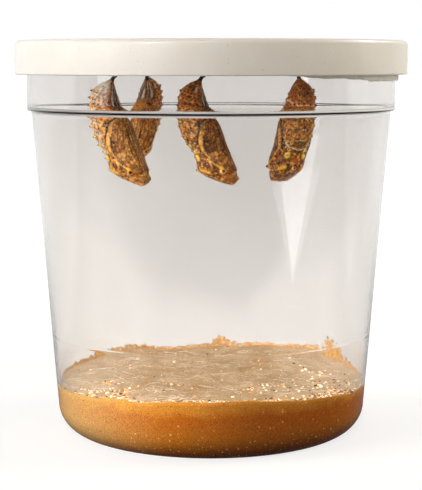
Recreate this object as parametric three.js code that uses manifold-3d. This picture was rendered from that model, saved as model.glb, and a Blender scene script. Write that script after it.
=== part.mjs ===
// A clear rearing cup with four painted lady chrysalises hanging head down from the paper under its lid.
// Units are millimetres, +Z is up, and the origin is the middle of the cup's foot.
import * as THREE from "three";
import { mergeVertices } from "three/addons/utils/BufferGeometryUtils.js";
import Module from "manifold-3d";

const wasm = await Module();
wasm.setup();

// ---- Driving dimensions of the cup ----
const ROUND_STEPS = 40; // facets round every turned piece
const WALL = 0.8; // wall of the moulded cup
const BASE_RADIUS = 33.5; // outside of the cup where the wall meets the rounded heel
const HEEL_RADIUS = 6.5; // rounded heel between the foot and the wall
const HEEL_STEPS = 4;
const SHOULDER_Z = 70; // ledge that stacked cups rest on
const BODY_TOP_RADIUS = 38.6; // outside of the tapered body just under the ledge
const LEDGE_RISE = 0.5;
const NECK_RADIUS = 39.5; // straight neck above the ledge
const LIP_Z = 82.3;

// ---- Driving dimensions of the lid and of the paper ----
const LID_TOP_Z = 84.5;
const LID_RADIUS = 42;
const LID_SHEET = 1.1; // thickness of the lid's top and panel
const SKIRT_Z = 77.4; // lower edge of the lid's skirt
const SKIRT_INNER_RADIUS = 40.7;
const EDGE_ROUND = 0.8; // rounding of the lid's upper edge
const PANEL_Z = 78.7; // underside of the lid's sunken panel
const PLUG_RADIUS = 37.7; // outside of the wall round the sunken panel
const PLUG_WALL = 1.2;
const PAPER = 0.25;
const PAPER_Z = 78.15; // underside of the paper liner
const PAPER_PLUG_RADIUS = 38.3; // the paper passes between plug and neck here
const PAPER_FOLD_RADIUS = 40.2; // and between neck and skirt here
const PAPER_FOLD_Z = 77.8; // its edge stops a little above the foot of the skirt
const PAPER_OVER_Z = 82.8; // it is folded over the lip at this height

// ---- Driving dimensions of the food ----
const FOOD_Z = 11.4; // mean level of the food
const FOOD_SADDLE = 1.0; // it stands this much higher at the front and back than in the middle, and lower at the sides
const FOOD_GAP = 0.3; // clearance between the food and the wall
const FOOD_RINGS = 4;
const FOOD_WAVE = 0.3; // height of the unevenness of its surface

// ---- One chrysalis, in its sagittal plane ----
// Each station pairs a point of the back with a point of the belly, and gives half the breadth there. A point is
// [distance from the tip of the abdomen, distance from the straight line that joins tip and head, belly side positive].
const STATIONS = [
  { back: [-0.1, -0.2], belly: [0.05, 0.2], half: 0.3 },
  { back: [0.0, -1.0], belly: [0.8, 0.1], half: 0.9 },
  { back: [0.1, -2.1], belly: [1.75, 0.05], half: 1.5 },
  { back: [0.4, -3.2], belly: [2.75, 0.0], half: 2.05 },
  { back: [1.05, -4.35], belly: [3.85, 0.0], half: 2.5 },
  { back: [2.25, -5.2], belly: [5.15, 0.05], half: 2.9 },
  { back: [3.65, -5.85], belly: [6.7, 0.3], half: 3.1 },
  { back: [5.1, -6.35], belly: [8.3, 0.75], half: 3.3 },
  { back: [6.6, -6.65], belly: [10.0, 1.05], half: 3.4 },
  { back: [8.45, -6.8], belly: [11.8, 1.15], half: 3.4 },
  { back: [10.4, -6.6], belly: [13.5, 1.2], half: 3.4 },
  { back: [12.1, -6.1], belly: [15.0, 1.3], half: 3.35 },
  { back: [13.6, -5.55], belly: [16.4, 1.45], half: 3.35 },
  { back: [15.05, -5.5], belly: [17.6, 1.55], half: 3.5 },
  { back: [16.4, -5.7], belly: [18.7, 1.65], half: 3.55 },
  { back: [17.55, -5.6], belly: [19.6, 1.7], half: 3.3 },
  { back: [18.95, -4.7], belly: [20.4, 1.7], half: 2.85 },
  { back: [20.4, -3.05], belly: [21.1, 1.65], half: 2.5 },
  { back: [21.55, -1.5], belly: [21.7, 1.5], half: 2.15 },
  { back: [22.25, -0.35], belly: [22.1, 1.15], half: 1.75 },
  { back: [22.45, 0.35], belly: [22.3, 0.75], half: 1.1 },
];
// Middle of each body ring, as a share of the way along the stations.
const RING_MIDDLES = [0.2, 0.25, 0.305, 0.365, 0.43, 0.487, 0.54, 0.593, 0.64];
const RING_GROOVE = 0.18; // depth of the groove between two rings
const AROUND = 16; // facets round a chrysalis
// Upper margin of the wing case: share of the way along, then degrees round from the middle of the back.
const WING_MARGIN = [
  [0.31, 170],
  [0.34, 125],
  [0.385, 98],
  [0.44, 85],
  [0.48, 74],
  [0.533, 64],
  [0.588, 57],
  [0.63, 72],
  [0.7, 92],
  [0.76, 112],
];
const WING_RELIEF = 0.25; // how far a wing case stands proud of the rings
// Rows of pointed warts, in degrees round from the middle of the back, with their base radius and height.
const WART_ROWS = [
  { turn: 32, radius: 0.42, height: 0.6 },
  { turn: -32, radius: 0.42, height: 0.6 },
];
const WART_SIDES = 5;
const WART_SINK = 0.35; // how deep a wart's foot is set into the body
const SHOULDER_POINT = { along: 0.75, turn: 106, radius: 0.85, height: 1.0 };
const BACK_POINT = { along: 0.745, turn: 0, radius: 0.6, height: 0.5 };
const HEAD_POINT = { along: 0.93, turn: 74, radius: 0.7, height: 0.45 };
const STALK_RADIUS = 0.3; // hooked stalk at the tip of the abdomen
const STALK_LENGTH = 0.5;

// ---- How the four chrysalises hang ----
// x, y and z place the tip of the abdomen. The body leans by lean towards the heading towards, and its belly faces the
// heading facing; headings are in degrees round from +X.
const HANGING = [
  { x: -20.3, y: -15, z: 76.55, lean: 16.3, towards: 0, facing: -12, size: 1.01 },
  { x: -14.1, y: 8, z: 76.85, lean: 16, towards: 225, facing: 236, size: 0.85 },
  { x: -2.25, y: -17, z: 76.55, lean: 16.8, towards: 2, facing: 2, size: 1.0 },
  { x: 18.2, y: -13, z: 76.7, lean: 16.5, towards: 127, facing: 112, size: 1.0 },
];
const SILK_GAP = 0.2; // clearance between a stalk and its silk button
const SILK_THICKNESS = 0.35;
const SILK_RADIUS = 1.9;

// ---- Helpers ----
const paint = {
  cup: new THREE.MeshStandardMaterial({
    color: 0xe9e9e6,
    roughness: 0.08,
    transparent: true,
    opacity: 0.3,
  }),
  lid: new THREE.MeshStandardMaterial({ color: 0xe4ddd0, roughness: 0.5 }),
  paper: new THREE.MeshStandardMaterial({ color: 0xf1ece2, roughness: 0.95 }),
  food: new THREE.MeshStandardMaterial({ color: 0xb4712a, roughness: 0.7 }),
  silk: new THREE.MeshStandardMaterial({ color: 0xefe9dc, roughness: 0.6 }),
  chrysalis: new THREE.MeshStandardMaterial({ color: 0x8a5f35, roughness: 0.5 }),
};

function node(name, geometry, material) {
  const mesh = new THREE.Mesh(geometry, material);
  mesh.name = name;
  return mesh;
}

const smoothStep = (from, to, x) => THREE.MathUtils.smoothstep(x, from, to);

// A closed outline of [radius, height] points, turned about the Z axis.
function turned(outline) {
  const points = outline.map(([r, z]) => new THREE.Vector2(r, z));
  return new THREE.LatheGeometry(points, ROUND_STEPS).rotateX(Math.PI / 2);
}

// Points of a quarter arc in an outline, from one angle to another, in degrees.
function arc(centreR, centreZ, radius, from, to, steps) {
  const points = [];
  for (let i = 0; i <= steps; i++) {
    const angle = THREE.MathUtils.degToRad(from + ((to - from) * i) / steps);
    points.push([centreR + radius * Math.cos(angle), centreZ + radius * Math.sin(angle)]);
  }
  return points;
}

function solidOf(geometry) {
  const bare = geometry.clone();
  bare.deleteAttribute("normal");
  bare.deleteAttribute("uv");
  const merged = mergeVertices(bare.index ? bare.toNonIndexed() : bare, 1e-4);
  return new wasm.Manifold(
    new wasm.Mesh({
      numProp: 3,
      vertProperties: new Float32Array(merged.attributes.position.array),
      triVerts: new Uint32Array(merged.index.array),
    }),
  );
}

function geometryOf(solid) {
  const mesh = solid.getMesh();
  const geometry = new THREE.BufferGeometry();
  geometry.setAttribute("position", new THREE.BufferAttribute(new Float32Array(mesh.vertProperties), 3));
  geometry.setIndex(new THREE.BufferAttribute(new Uint32Array(mesh.triVerts), 1));
  geometry.computeVertexNormals();
  return geometry;
}

// ---- Cup ----
// Outside radius of the tapered body at a height.
function bodyRadius(z) {
  const share = (z - HEEL_RADIUS) / (SHOULDER_Z - HEEL_RADIUS);
  return THREE.MathUtils.lerp(BASE_RADIUS, BODY_TOP_RADIUS, share);
}

function cup() {
  const heelCentre = BASE_RADIUS - HEEL_RADIUS;
  const outside = [
    [0, 0],
    ...arc(heelCentre, HEEL_RADIUS, HEEL_RADIUS, -90, 0, HEEL_STEPS),
    [BODY_TOP_RADIUS, SHOULDER_Z - LEDGE_RISE],
    [NECK_RADIUS, SHOULDER_Z],
    [NECK_RADIUS, LIP_Z],
  ];
  const inside = [
    [NECK_RADIUS - WALL, LIP_Z],
    [NECK_RADIUS - WALL, SHOULDER_Z + WALL],
    [BODY_TOP_RADIUS - WALL, SHOULDER_Z - LEDGE_RISE + WALL],
    ...arc(heelCentre, HEEL_RADIUS, HEEL_RADIUS - WALL, 0, -90, HEEL_STEPS),
    [0, WALL],
  ];
  return node("cup", turned([...outside, ...inside]), paint.cup);
}

// ---- Lid ----
function lid() {
  const recessRadius = PLUG_RADIUS - PLUG_WALL;
  const outline = [
    [0, PANEL_Z],
    [PLUG_RADIUS, PANEL_Z],
    [PLUG_RADIUS, LID_TOP_Z - LID_SHEET],
    [SKIRT_INNER_RADIUS, LID_TOP_Z - LID_SHEET],
    [SKIRT_INNER_RADIUS, SKIRT_Z],
    [LID_RADIUS, SKIRT_Z],
    ...arc(LID_RADIUS - EDGE_ROUND, LID_TOP_Z - EDGE_ROUND, EDGE_ROUND, 0, 90, 2),
    [recessRadius + EDGE_ROUND, LID_TOP_Z],
    [recessRadius, LID_TOP_Z - EDGE_ROUND],
    [recessRadius, PANEL_Z + LID_SHEET],
    [0, PANEL_Z + LID_SHEET],
  ];
  return node("lid", turned(outline), paint.lid);
}

// ---- Paper liner: flat under the panel, up round the plug, over the lip and down behind the skirt ----
function paperLiner() {
  const outline = [
    [0, PAPER_Z],
    [PAPER_PLUG_RADIUS, PAPER_Z],
    [PAPER_PLUG_RADIUS, PAPER_OVER_Z],
    [PAPER_FOLD_RADIUS - PAPER, PAPER_OVER_Z],
    [PAPER_FOLD_RADIUS - PAPER, PAPER_FOLD_Z],
    [PAPER_FOLD_RADIUS, PAPER_FOLD_Z],
    [PAPER_FOLD_RADIUS, PAPER_OVER_Z + PAPER],
    [PAPER_PLUG_RADIUS - PAPER, PAPER_OVER_Z + PAPER],
    [PAPER_PLUG_RADIUS - PAPER, PAPER_Z + PAPER],
    [0, PAPER_Z + PAPER],
  ];
  return node("paper_liner", turned(outline), paint.paper);
}

// ---- Food: fills the heel of the cup, with a gently uneven top ----
function foodLevel(x, y) {
  const slope = (FOOD_SADDLE * (y * y - x * x)) / BASE_RADIUS ** 2;
  const waves = Math.sin(x * 0.21 + 1) * Math.cos(y * 0.17) + 0.5 * Math.sin(x * 0.4 - y * 0.33);
  return FOOD_Z + slope + FOOD_WAVE * waves;
}

function food() {
  const heel = arc(BASE_RADIUS - HEEL_RADIUS, HEEL_RADIUS, HEEL_RADIUS - WALL - FOOD_GAP, -90, 0, HEEL_STEPS);
  const topRadius = bodyRadius(FOOD_Z) - WALL - FOOD_GAP;
  const rings = [[0, WALL + FOOD_GAP], ...heel];
  const sideRings = rings.length;
  for (let i = FOOD_RINGS; i >= 0; i--) rings.push([(topRadius * i) / FOOD_RINGS, FOOD_Z]);
  const geometry = turned(rings);
  const place = geometry.attributes.position;
  for (let i = 0; i < place.count; i++) {
    if (i % rings.length < sideRings) continue;
    place.setZ(i, foodLevel(place.getX(i), place.getY(i)));
  }
  return node("food", geometry, paint.food);
}

// ---- Silk button that a chrysalis hooks into ----
function silkButton(number, { x, y, z }) {
  const outline = [
    [0, -SILK_THICKNESS / 2],
    [SILK_RADIUS * 0.6, -SILK_THICKNESS / 4],
    [SILK_RADIUS, SILK_THICKNESS * 0.35],
    [SILK_RADIUS, SILK_THICKNESS / 2],
    [0, SILK_THICKNESS / 2],
  ].map(([r, z]) => new THREE.Vector2(r, z));
  const shape = new THREE.LatheGeometry(outline, ROUND_STEPS / 4).rotateX(Math.PI / 2);
  const button = node("silk_button_" + number, shape, paint.silk);
  button.position.set(x, y, z + STALK_LENGTH + SILK_GAP + SILK_THICKNESS / 2);
  return button;
}

// ---- Chrysalis ----
const curveOf = (points) => new THREE.CatmullRomCurve3(points, false, "catmullrom", 0.5);
const backLine = curveOf(STATIONS.map(({ back }) => new THREE.Vector3(back[1], 0, -back[0])));
const bellyLine = curveOf(STATIONS.map(({ belly }) => new THREE.Vector3(belly[1], 0, -belly[0])));
const halfBreadth = curveOf(STATIONS.map(({ half }) => new THREE.Vector3(half, 0, 0)));

// Degrees round from the back at which the wing case starts, or past the belly where there is none.
function wingStart(along) {
  if (along < WING_MARGIN[0][0] || along > WING_MARGIN.at(-1)[0]) return 200;
  const next = Math.max(1, WING_MARGIN.findIndex(([place]) => place >= along));
  const [[placeA, turnA], [placeB, turnB]] = [WING_MARGIN[next - 1], WING_MARGIN[next]];
  return THREE.MathUtils.mapLinear(along, placeA, placeB, turnA, turnB);
}

// Height above the smooth body: the wing cases stand proud, and the rings are parted by grooves.
function relief(along, turn) {
  const onWing = smoothStep(-6, 6, Math.abs(turn) - wingStart(along));
  const borders = RING_MIDDLES.slice(1).map((middle, i) => (middle + RING_MIDDLES[i]) / 2);
  const nearest = Math.min(...borders.map((border) => Math.abs(border - along)));
  const groove = RING_GROOVE * (1 - smoothStep(0, 0.02, nearest));
  return WING_RELIEF * onWing - groove * (1 - onWing);
}

// Point of the surface, and the way it faces. along runs 0 to 1 from tip to head, turn in degrees from the back.
function surface(along, turn) {
  const back = backLine.getPoint(along);
  const belly = bellyLine.getPoint(along);
  const middle = back.clone().add(belly).multiplyScalar(0.5);
  const towardsBack = back.clone().sub(belly);
  const depth = towardsBack.length() / 2;
  towardsBack.normalize();
  const breadth = halfBreadth.getPoint(along).x;
  const angle = THREE.MathUtils.degToRad(turn);
  const sideways = new THREE.Vector3(0, 1, 0);
  const facing = towardsBack
    .clone()
    .multiplyScalar(Math.cos(angle) / depth)
    .addScaledVector(sideways, Math.sin(angle) / breadth)
    .normalize();
  const point = middle
    .addScaledVector(towardsBack, depth * Math.cos(angle))
    .addScaledVector(sideways, breadth * Math.sin(angle))
    .addScaledVector(facing, relief(along, turn));
  return { point, facing };
}

// A blunt cone standing on the body, with its foot sunk in so that it fuses.
function wart({ along, turn, radius, height }) {
  const { point, facing } = surface(along, turn);
  const cone = new THREE.ConeGeometry(radius, height + WART_SINK, WART_SIDES);
  cone.translate(0, (height - WART_SINK) / 2, 0);
  cone.applyQuaternion(new THREE.Quaternion().setFromUnitVectors(new THREE.Vector3(0, 1, 0), facing));
  return cone.translate(point.x, point.y, point.z);
}

// Places of the rings of facets: every ring's middle and every groove, with plain steps at both ends.
function loftPlaces() {
  const places = [0.03, 0.08, 0.14];
  RING_MIDDLES.forEach((middle, i) => {
    if (i > 0) places.push((middle + RING_MIDDLES[i - 1]) / 2);
    places.push(middle);
  });
  return [...places, 0.7, 0.75, 0.8, 0.85, 0.9, 0.95];
}

function chrysalisBody() {
  const corners = [];
  const faces = [];
  const places = loftPlaces();
  const tip = surface(0, 0).point.add(surface(0, 180).point).multiplyScalar(0.5);
  const crown = surface(1, 0).point.add(surface(1, 180).point).multiplyScalar(0.5);
  corners.push(tip, crown);
  for (const along of places)
    for (let j = 0; j < AROUND; j++) corners.push(surface(along, (j * 360) / AROUND - 180).point);
  const at = (ring, j) => 2 + ring * AROUND + (j % AROUND);
  const last = places.length - 1;
  for (let j = 0; j < AROUND; j++) {
    faces.push(0, at(0, j + 1), at(0, j));
    faces.push(1, at(last, j), at(last, j + 1));
    for (let ring = 0; ring < last; ring++) {
      faces.push(at(ring, j), at(ring + 1, j + 1), at(ring + 1, j));
      faces.push(at(ring, j), at(ring, j + 1), at(ring + 1, j + 1));
    }
  }
  const geometry = new THREE.BufferGeometry().setFromPoints(corners);
  geometry.setIndex(faces);
  return geometry;
}

function chrysalisShape() {
  let solid = solidOf(chrysalisBody());
  const warts = [];
  for (const row of WART_ROWS)
    for (const along of RING_MIDDLES) warts.push({ ...row, along });
  warts.push(BACK_POINT);
  for (const point of [SHOULDER_POINT, HEAD_POINT]) warts.push(point, { ...point, turn: -point.turn });
  for (const each of warts) solid = solid.add(solidOf(wart(each)));
  const stalk = new THREE.CylinderGeometry(STALK_RADIUS, STALK_RADIUS * 1.5, STALK_LENGTH * 2, 6);
  return geometryOf(solid.add(solidOf(stalk.rotateX(Math.PI / 2))));
}

function hangingChrysalis(number, { x, y, z, lean, towards, facing, size }, shape) {
  const { degToRad } = THREE.MathUtils;
  const mesh = node("chrysalis_" + number, shape.clone(), paint.chrysalis);
  mesh.scale.setScalar(size);
  mesh.rotation.z = degToRad(facing - towards);
  const tilt = new THREE.Group();
  tilt.rotation.y = -degToRad(lean);
  tilt.add(mesh);
  const hook = new THREE.Group();
  hook.position.set(x, y, z);
  hook.rotation.z = degToRad(towards);
  hook.add(tilt);
  return hook;
}

// ---- Assembly ----
const rearingCup = new THREE.Group();
rearingCup.add(cup(), lid(), paperLiner(), food());
const shape = chrysalisShape();
HANGING.forEach((place, i) => {
  rearingCup.add(hangingChrysalis(i + 1, place, shape));
  rearingCup.add(silkButton(i + 1, place));
});

export default rearingCup;
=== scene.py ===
# %% [markdown]
# # A rearing cup with four chrysalises
# A clear moulded cup with a white lid holds a bed of caterpillar food. Four painted lady chrysalises hang
# head down from the paper under the lid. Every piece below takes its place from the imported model, in one
# shared frame: metres for Blender, and millimetres for the makers' sizes that the cells give.

# %% Load the frame
import math

import bpy
import numpy as np
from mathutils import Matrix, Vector


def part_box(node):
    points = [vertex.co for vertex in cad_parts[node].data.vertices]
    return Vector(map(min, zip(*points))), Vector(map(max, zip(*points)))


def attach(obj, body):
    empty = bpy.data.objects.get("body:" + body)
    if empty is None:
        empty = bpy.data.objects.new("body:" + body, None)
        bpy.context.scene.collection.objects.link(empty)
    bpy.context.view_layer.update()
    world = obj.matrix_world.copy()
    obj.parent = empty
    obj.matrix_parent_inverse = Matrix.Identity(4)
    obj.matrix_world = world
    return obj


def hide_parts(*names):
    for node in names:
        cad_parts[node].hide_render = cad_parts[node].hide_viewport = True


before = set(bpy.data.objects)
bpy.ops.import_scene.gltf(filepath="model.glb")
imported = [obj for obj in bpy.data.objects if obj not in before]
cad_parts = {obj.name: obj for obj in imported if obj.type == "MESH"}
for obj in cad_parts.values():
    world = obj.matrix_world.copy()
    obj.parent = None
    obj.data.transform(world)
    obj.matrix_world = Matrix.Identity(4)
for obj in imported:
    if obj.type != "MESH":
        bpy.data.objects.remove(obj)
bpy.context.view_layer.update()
MM = 0.001
print("packed nodes:", sorted(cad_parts))

# %% [markdown]
# ## The camera
# A product view from a little above the table. The camera stands one third of a metre in front of the cup,
# just under the height of its lid, and looks down by seven degrees. So the lid is seen edge on and the food
# from above. A long lens keeps the sides of the cup nearly straight.

# %% Camera
CAMERA_DISTANCE = 324.8
CAMERA_HEIGHT = 80.0
CAMERA_DOWN = 6.9624
CAMERA_LENS = 110.0
camera = bpy.data.objects.new("camera", bpy.data.cameras.new("camera"))
camera.data.lens = CAMERA_LENS
camera.data.sensor_width = 36
camera.data.clip_start = 0.01
camera.location = (0, -CAMERA_DISTANCE * MM, CAMERA_HEIGHT * MM)
camera.rotation_euler = (math.radians(90 - CAMERA_DOWN), 0, 0)
bpy.context.scene.collection.objects.link(camera)
bpy.context.scene.camera = camera
print("camera stands", CAMERA_DISTANCE, "mm in front")

# %% [markdown]
# ## Helpers for node trees
# Shaders and Geometry Nodes are both built here as trees of nodes. One helper adds a node and fills its
# sockets, so that each finish below reads as a short list of what feeds what.


# %% Node helpers
def plug(tree, node, inputs):
    """Fills a node's sockets, by name or number, with values or with other nodes' outputs."""
    for socket, value in inputs.items():
        if isinstance(value, bpy.types.NodeSocket):
            tree.links.new(value, node.inputs[socket])
        else:
            node.inputs[socket].default_value = value


def add(tree, kind, inputs=None, **settings):
    node = tree.nodes.new(kind)
    for name, value in settings.items():
        setattr(node, name, value)
    plug(tree, node, inputs or {})
    return node


def calc(tree, operation, first, second=0.0):
    return add(tree, "ShaderNodeMath", {0: first, 1: second}, operation=operation).outputs[0]


def spread(tree, value, low, high, to_low=0.0, to_high=1.0):
    """Stretches low..high of a value to to_low..to_high, softly, and holds it there outside."""
    sockets = {"Value": value, 1: low, 2: high, 3: to_low, 4: to_high}
    return add(tree, "ShaderNodeMapRange", sockets, interpolation_type="SMOOTHSTEP").outputs[0]


def blend(tree, factor, first, second, how="MIX"):
    sockets = {0: factor, 6: first, 7: second}
    return add(tree, "ShaderNodeMix", sockets, data_type="RGBA", blend_type=how).outputs[2]


def ramp(tree, value, stops):
    """A colour ramp through (place, colour) stops."""
    node = add(tree, "ShaderNodeValToRGB", {"Fac": value})
    elements = node.color_ramp.elements
    while len(elements) < len(stops):
        elements.new(0.5)
    for element, (place, tone) in zip(elements, stops):
        element.position = place
        element.color = tone
    return node.outputs["Color"]


def grain(tree, where, size, detail=3.0, roughness=0.55):
    """Cloudy noise whose lumps are about size millimetres, for coordinates in metres."""
    sockets = {"Vector": where, "Scale": 1 / (size * MM), "Detail": detail, "Roughness": roughness}
    return add(tree, "ShaderNodeTexNoise", sockets).outputs["Fac"]


def colour(red, green, highlight_streak_zone):
    """A colour given in screen values from 0 to 255, as the linear values that shaders want."""
    shares = [channel / 255 for channel in (red, green, highlight_streak_zone)]
    return (*[s / 12.92 if s <= 0.04045 else ((s + 0.055) / 1.055) ** 2.4 for s in shares], 1.0)


def material(name):
    """An empty material with one Principled shader, and its tree."""
    made = bpy.data.materials.new(name)
    made.use_nodes = True
    tree = made.node_tree
    tree.nodes.clear()
    shader = add(tree, "ShaderNodeBsdfPrincipled")
    add(tree, "ShaderNodeOutputMaterial", {"Surface": shader.outputs[0]})
    return made, tree, shader


print("node helpers ready")

# %% [markdown]
# ## Helpers for meshes
# Everything is modelled in place in millimetres with numpy and scaled to metres once, when its mesh is
# made. A piece's object then sits at the origin, unturned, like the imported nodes. The lumps helper is a
# small value noise: it gives the same smooth random unevenness each time that the script runs.


# %% Mesh helpers
def mesh_object(name, points, faces=(), edges=()):
    mesh = bpy.data.meshes.new(name)
    mesh.from_pydata(
        (np.asarray(points) * MM).tolist(), [list(edge) for edge in edges], [list(face) for face in faces]
    )
    made = bpy.data.objects.new(name, mesh)
    bpy.context.scene.collection.objects.link(made)
    return made


def set_attribute(piece, name, values, kind="FLOAT"):
    values = np.asarray(values, np.float32)
    field = {"FLOAT": "value", "FLOAT_VECTOR": "vector", "FLOAT_COLOR": "color"}[kind]
    layer = piece.data.attributes.new(name, kind, "POINT")
    layer.data.foreach_set(field, values.ravel())


def volume(mesh):
    mesh.calc_loop_triangles()
    corners = np.empty(len(mesh.vertices) * 3)
    mesh.vertices.foreach_get("co", corners)
    triangles = np.empty(len(mesh.loop_triangles) * 3, int)
    mesh.loop_triangles.foreach_get("vertices", triangles)
    a, b, c = corners.reshape(-1, 3)[triangles].reshape(-1, 3, 3).transpose(1, 0, 2)
    return float(np.einsum("ij,ij->i", a, np.cross(b, c)).sum() / 6)


def finish_piece(piece, replaced=(), sharp=None):
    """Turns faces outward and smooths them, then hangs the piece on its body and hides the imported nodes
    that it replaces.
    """
    if volume(piece.data) < 0:
        piece.data.flip_normals()
    piece.data.shade_smooth()
    if sharp:
        piece.data.set_sharp_from_angle(angle=math.radians(sharp))
    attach(piece, "root")
    if replaced:
        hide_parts(*replaced)
    print(piece.name, "has", len(piece.data.polygons), "faces")


def lumps(points, size, seed):
    """Smooth random values from -1 to 1 at points, with lumps of about size."""
    place = np.asarray(points, float) / size
    corner = np.floor(place).astype(np.int64)
    share = place - corner
    share = share * share * (3 - 2 * share)
    total = np.zeros(place.shape[:-1])
    for step in np.ndindex(2, 2, 2):
        cell = corner + step
        key = cell[..., 0] * 73856093 ^ cell[..., 1] * 19349663 ^ cell[..., 2] * 83492791 ^ seed * 97531
        key = (key ^ (key >> 13)) * 1274126177
        value = ((key ^ (key >> 16)) & 0xFFFF) / 32767.5 - 1
        total += value * np.prod(np.where(step, share, 1 - share), axis=-1)
    return total


def soft_step(low, high, value):
    share = np.clip((np.asarray(value, float) - low) / (high - low), 0, 1)
    return share * share * (3 - 2 * share)


def round_heading(x, y):
    return np.degrees(np.arctan2(y, x))


print("mesh helpers ready")

# %% [markdown]
# ## Geometry Nodes
# Three things in this object follow a rule. The cup and the lid are turned outlines, so one tree turns an
# outline about the upright axis. Grains of food and warts sit on points, and threads of silk run from
# points, so other trees set a small shape on each point. A tree is applied once: its result becomes a plain
# mesh and the modifier goes away.


# %% Geometry Nodes helpers
def new_tree(name, inputs):
    """An empty Geometry Nodes tree with named inputs, given as {name: (socket type, default)}."""
    tree = bpy.data.node_groups.new(name, "GeometryNodeTree")
    tree.interface.new_socket(name="Geometry", in_out="INPUT", socket_type="NodeSocketGeometry")
    for title, (kind, default) in inputs.items():
        tree.interface.new_socket(name=title, in_out="INPUT", socket_type=kind).default_value = default
    tree.interface.new_socket(name="Geometry", in_out="OUTPUT", socket_type="NodeSocketGeometry")
    return tree, tree.nodes.new("NodeGroupInput").outputs


def end_tree(tree, geometry, finish):
    """The last nodes of every tree: real geometry in place of instances, and its material."""
    real = add(tree, "GeometryNodeRealizeInstances", {"Geometry": geometry})
    painted = add(tree, "GeometryNodeSetMaterial", {"Geometry": real.outputs[0], "Material": finish})
    add(tree, "NodeGroupOutput", {"Geometry": painted.outputs[0]})


def run_tree(piece, tree, **values):
    """Sets the tree's inputs, evaluates it on the piece, and keeps the result as the piece's plain mesh."""
    modifier = piece.modifiers.new(tree.name, "NODES")
    modifier.node_group = tree
    sockets = {item.name: item.identifier for item in tree.interface.items_tree if item.in_out == "INPUT"}
    for name, value in values.items():
        modifier[sockets[name]] = value
    evaluated = piece.evaluated_get(bpy.context.evaluated_depsgraph_get())
    mesh = bpy.data.meshes.new_from_object(evaluated)
    piece.modifiers.remove(modifier)
    piece.data = mesh
    return piece


SPINE = 1.0  # radius of the circle that an outline is swept round, in mm
WELD = 0.002  # points closer than this are joined, in mm, as where an outline meets the axis


def turning_tree(finish):
    tree, inputs = new_tree("turn an outline", {"Steps": ("NodeSocketInt", 128)})
    circle = add(
        tree, "GeometryNodeCurvePrimitiveCircle", {"Resolution": inputs["Steps"], "Radius": SPINE * MM}
    )
    outline = add(tree, "GeometryNodeMeshToCurve", {"Mesh": inputs["Geometry"]})
    skin = add(
        tree, "GeometryNodeCurveToMesh", {"Curve": circle.outputs[0], "Profile Curve": outline.outputs[0]}
    )
    closed = add(tree, "GeometryNodeMergeByDistance", {"Geometry": skin.outputs[0], "Distance": WELD * MM})
    end_tree(tree, closed.outputs[0], finish)
    return tree


def turned(name, outline, finish, steps):
    """Turns a closed outline of (radius, height) points, which starts and ends on the axis."""
    points = [(radius - SPINE, -height, 0) for radius, height in outline]
    edges = [(i, i + 1) for i in range(len(points) - 1)]
    return run_tree(mesh_object(name, points, edges=edges), turning_tree(finish), Steps=steps)


def arc(centre_radius, centre_height, radius, start, stop, steps):
    angles = np.radians(np.linspace(start, stop, steps + 1))
    return [(centre_radius + radius * math.cos(a), centre_height + radius * math.sin(a)) for a in angles]


print("a turned outline sweeps round a circle of", SPINE, "mm")

# %% [markdown]
# ## Clear plastic
# The cup is thin injection-moulded plastic: glossy and clear, with a little haze. The haze is set much
# heavier on the far side than on the near one, as painted light: the hazy far wall catches the light and
# shows the shadow that the lid throws on it, while the near wall stays clear. So the shader scatters a share
# of the light there and lets the rest through. The neck is set clearer. The ledge's tight bend shows as one
# dark line inside a milky band: the line is painted shade and the band a painted highlight, and both are
# painted by height on the near half only, because the far half is already blurred by what is in front of it.
# Lamps also have to reach what is inside, and bent light from a lamp is very slow to find, so shadow rays
# pass straight through.

# %% Clear plastic
LEDGE_Z = 70.0
# The ledge's dark line is painted shade and its milky band a painted highlight, both on the near half.
LEDGE_SHADE_LINE = 0.22  # half the height of the dark line, in mm
LEDGE_GLOW = 0.58  # and of the milky band that holds it
LEDGE_HIGHLIGHT_SHARE = 0.85  # share of the light that the band scatters
# The far wall is set hazier than the near one, as painted light that lets it catch the lamps and the lid's
# shadow.
CLEAR_FRONT = 0.998  # share of the light that passes each face of the near wall
CLEAR_BACK = 0.8
CLEAR_NECK = 0.9
HAZE_REACH = 20.0  # the haze sets in over this far before and behind the middle
NECK_START = 62.0  # and gives way to the clearer neck from this height up to the ledge
PLASTIC_TINT = (0.985, 0.985, 0.985, 1)
PLASTIC_IOR = 1.49  # how strongly the plastic bends light


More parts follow.
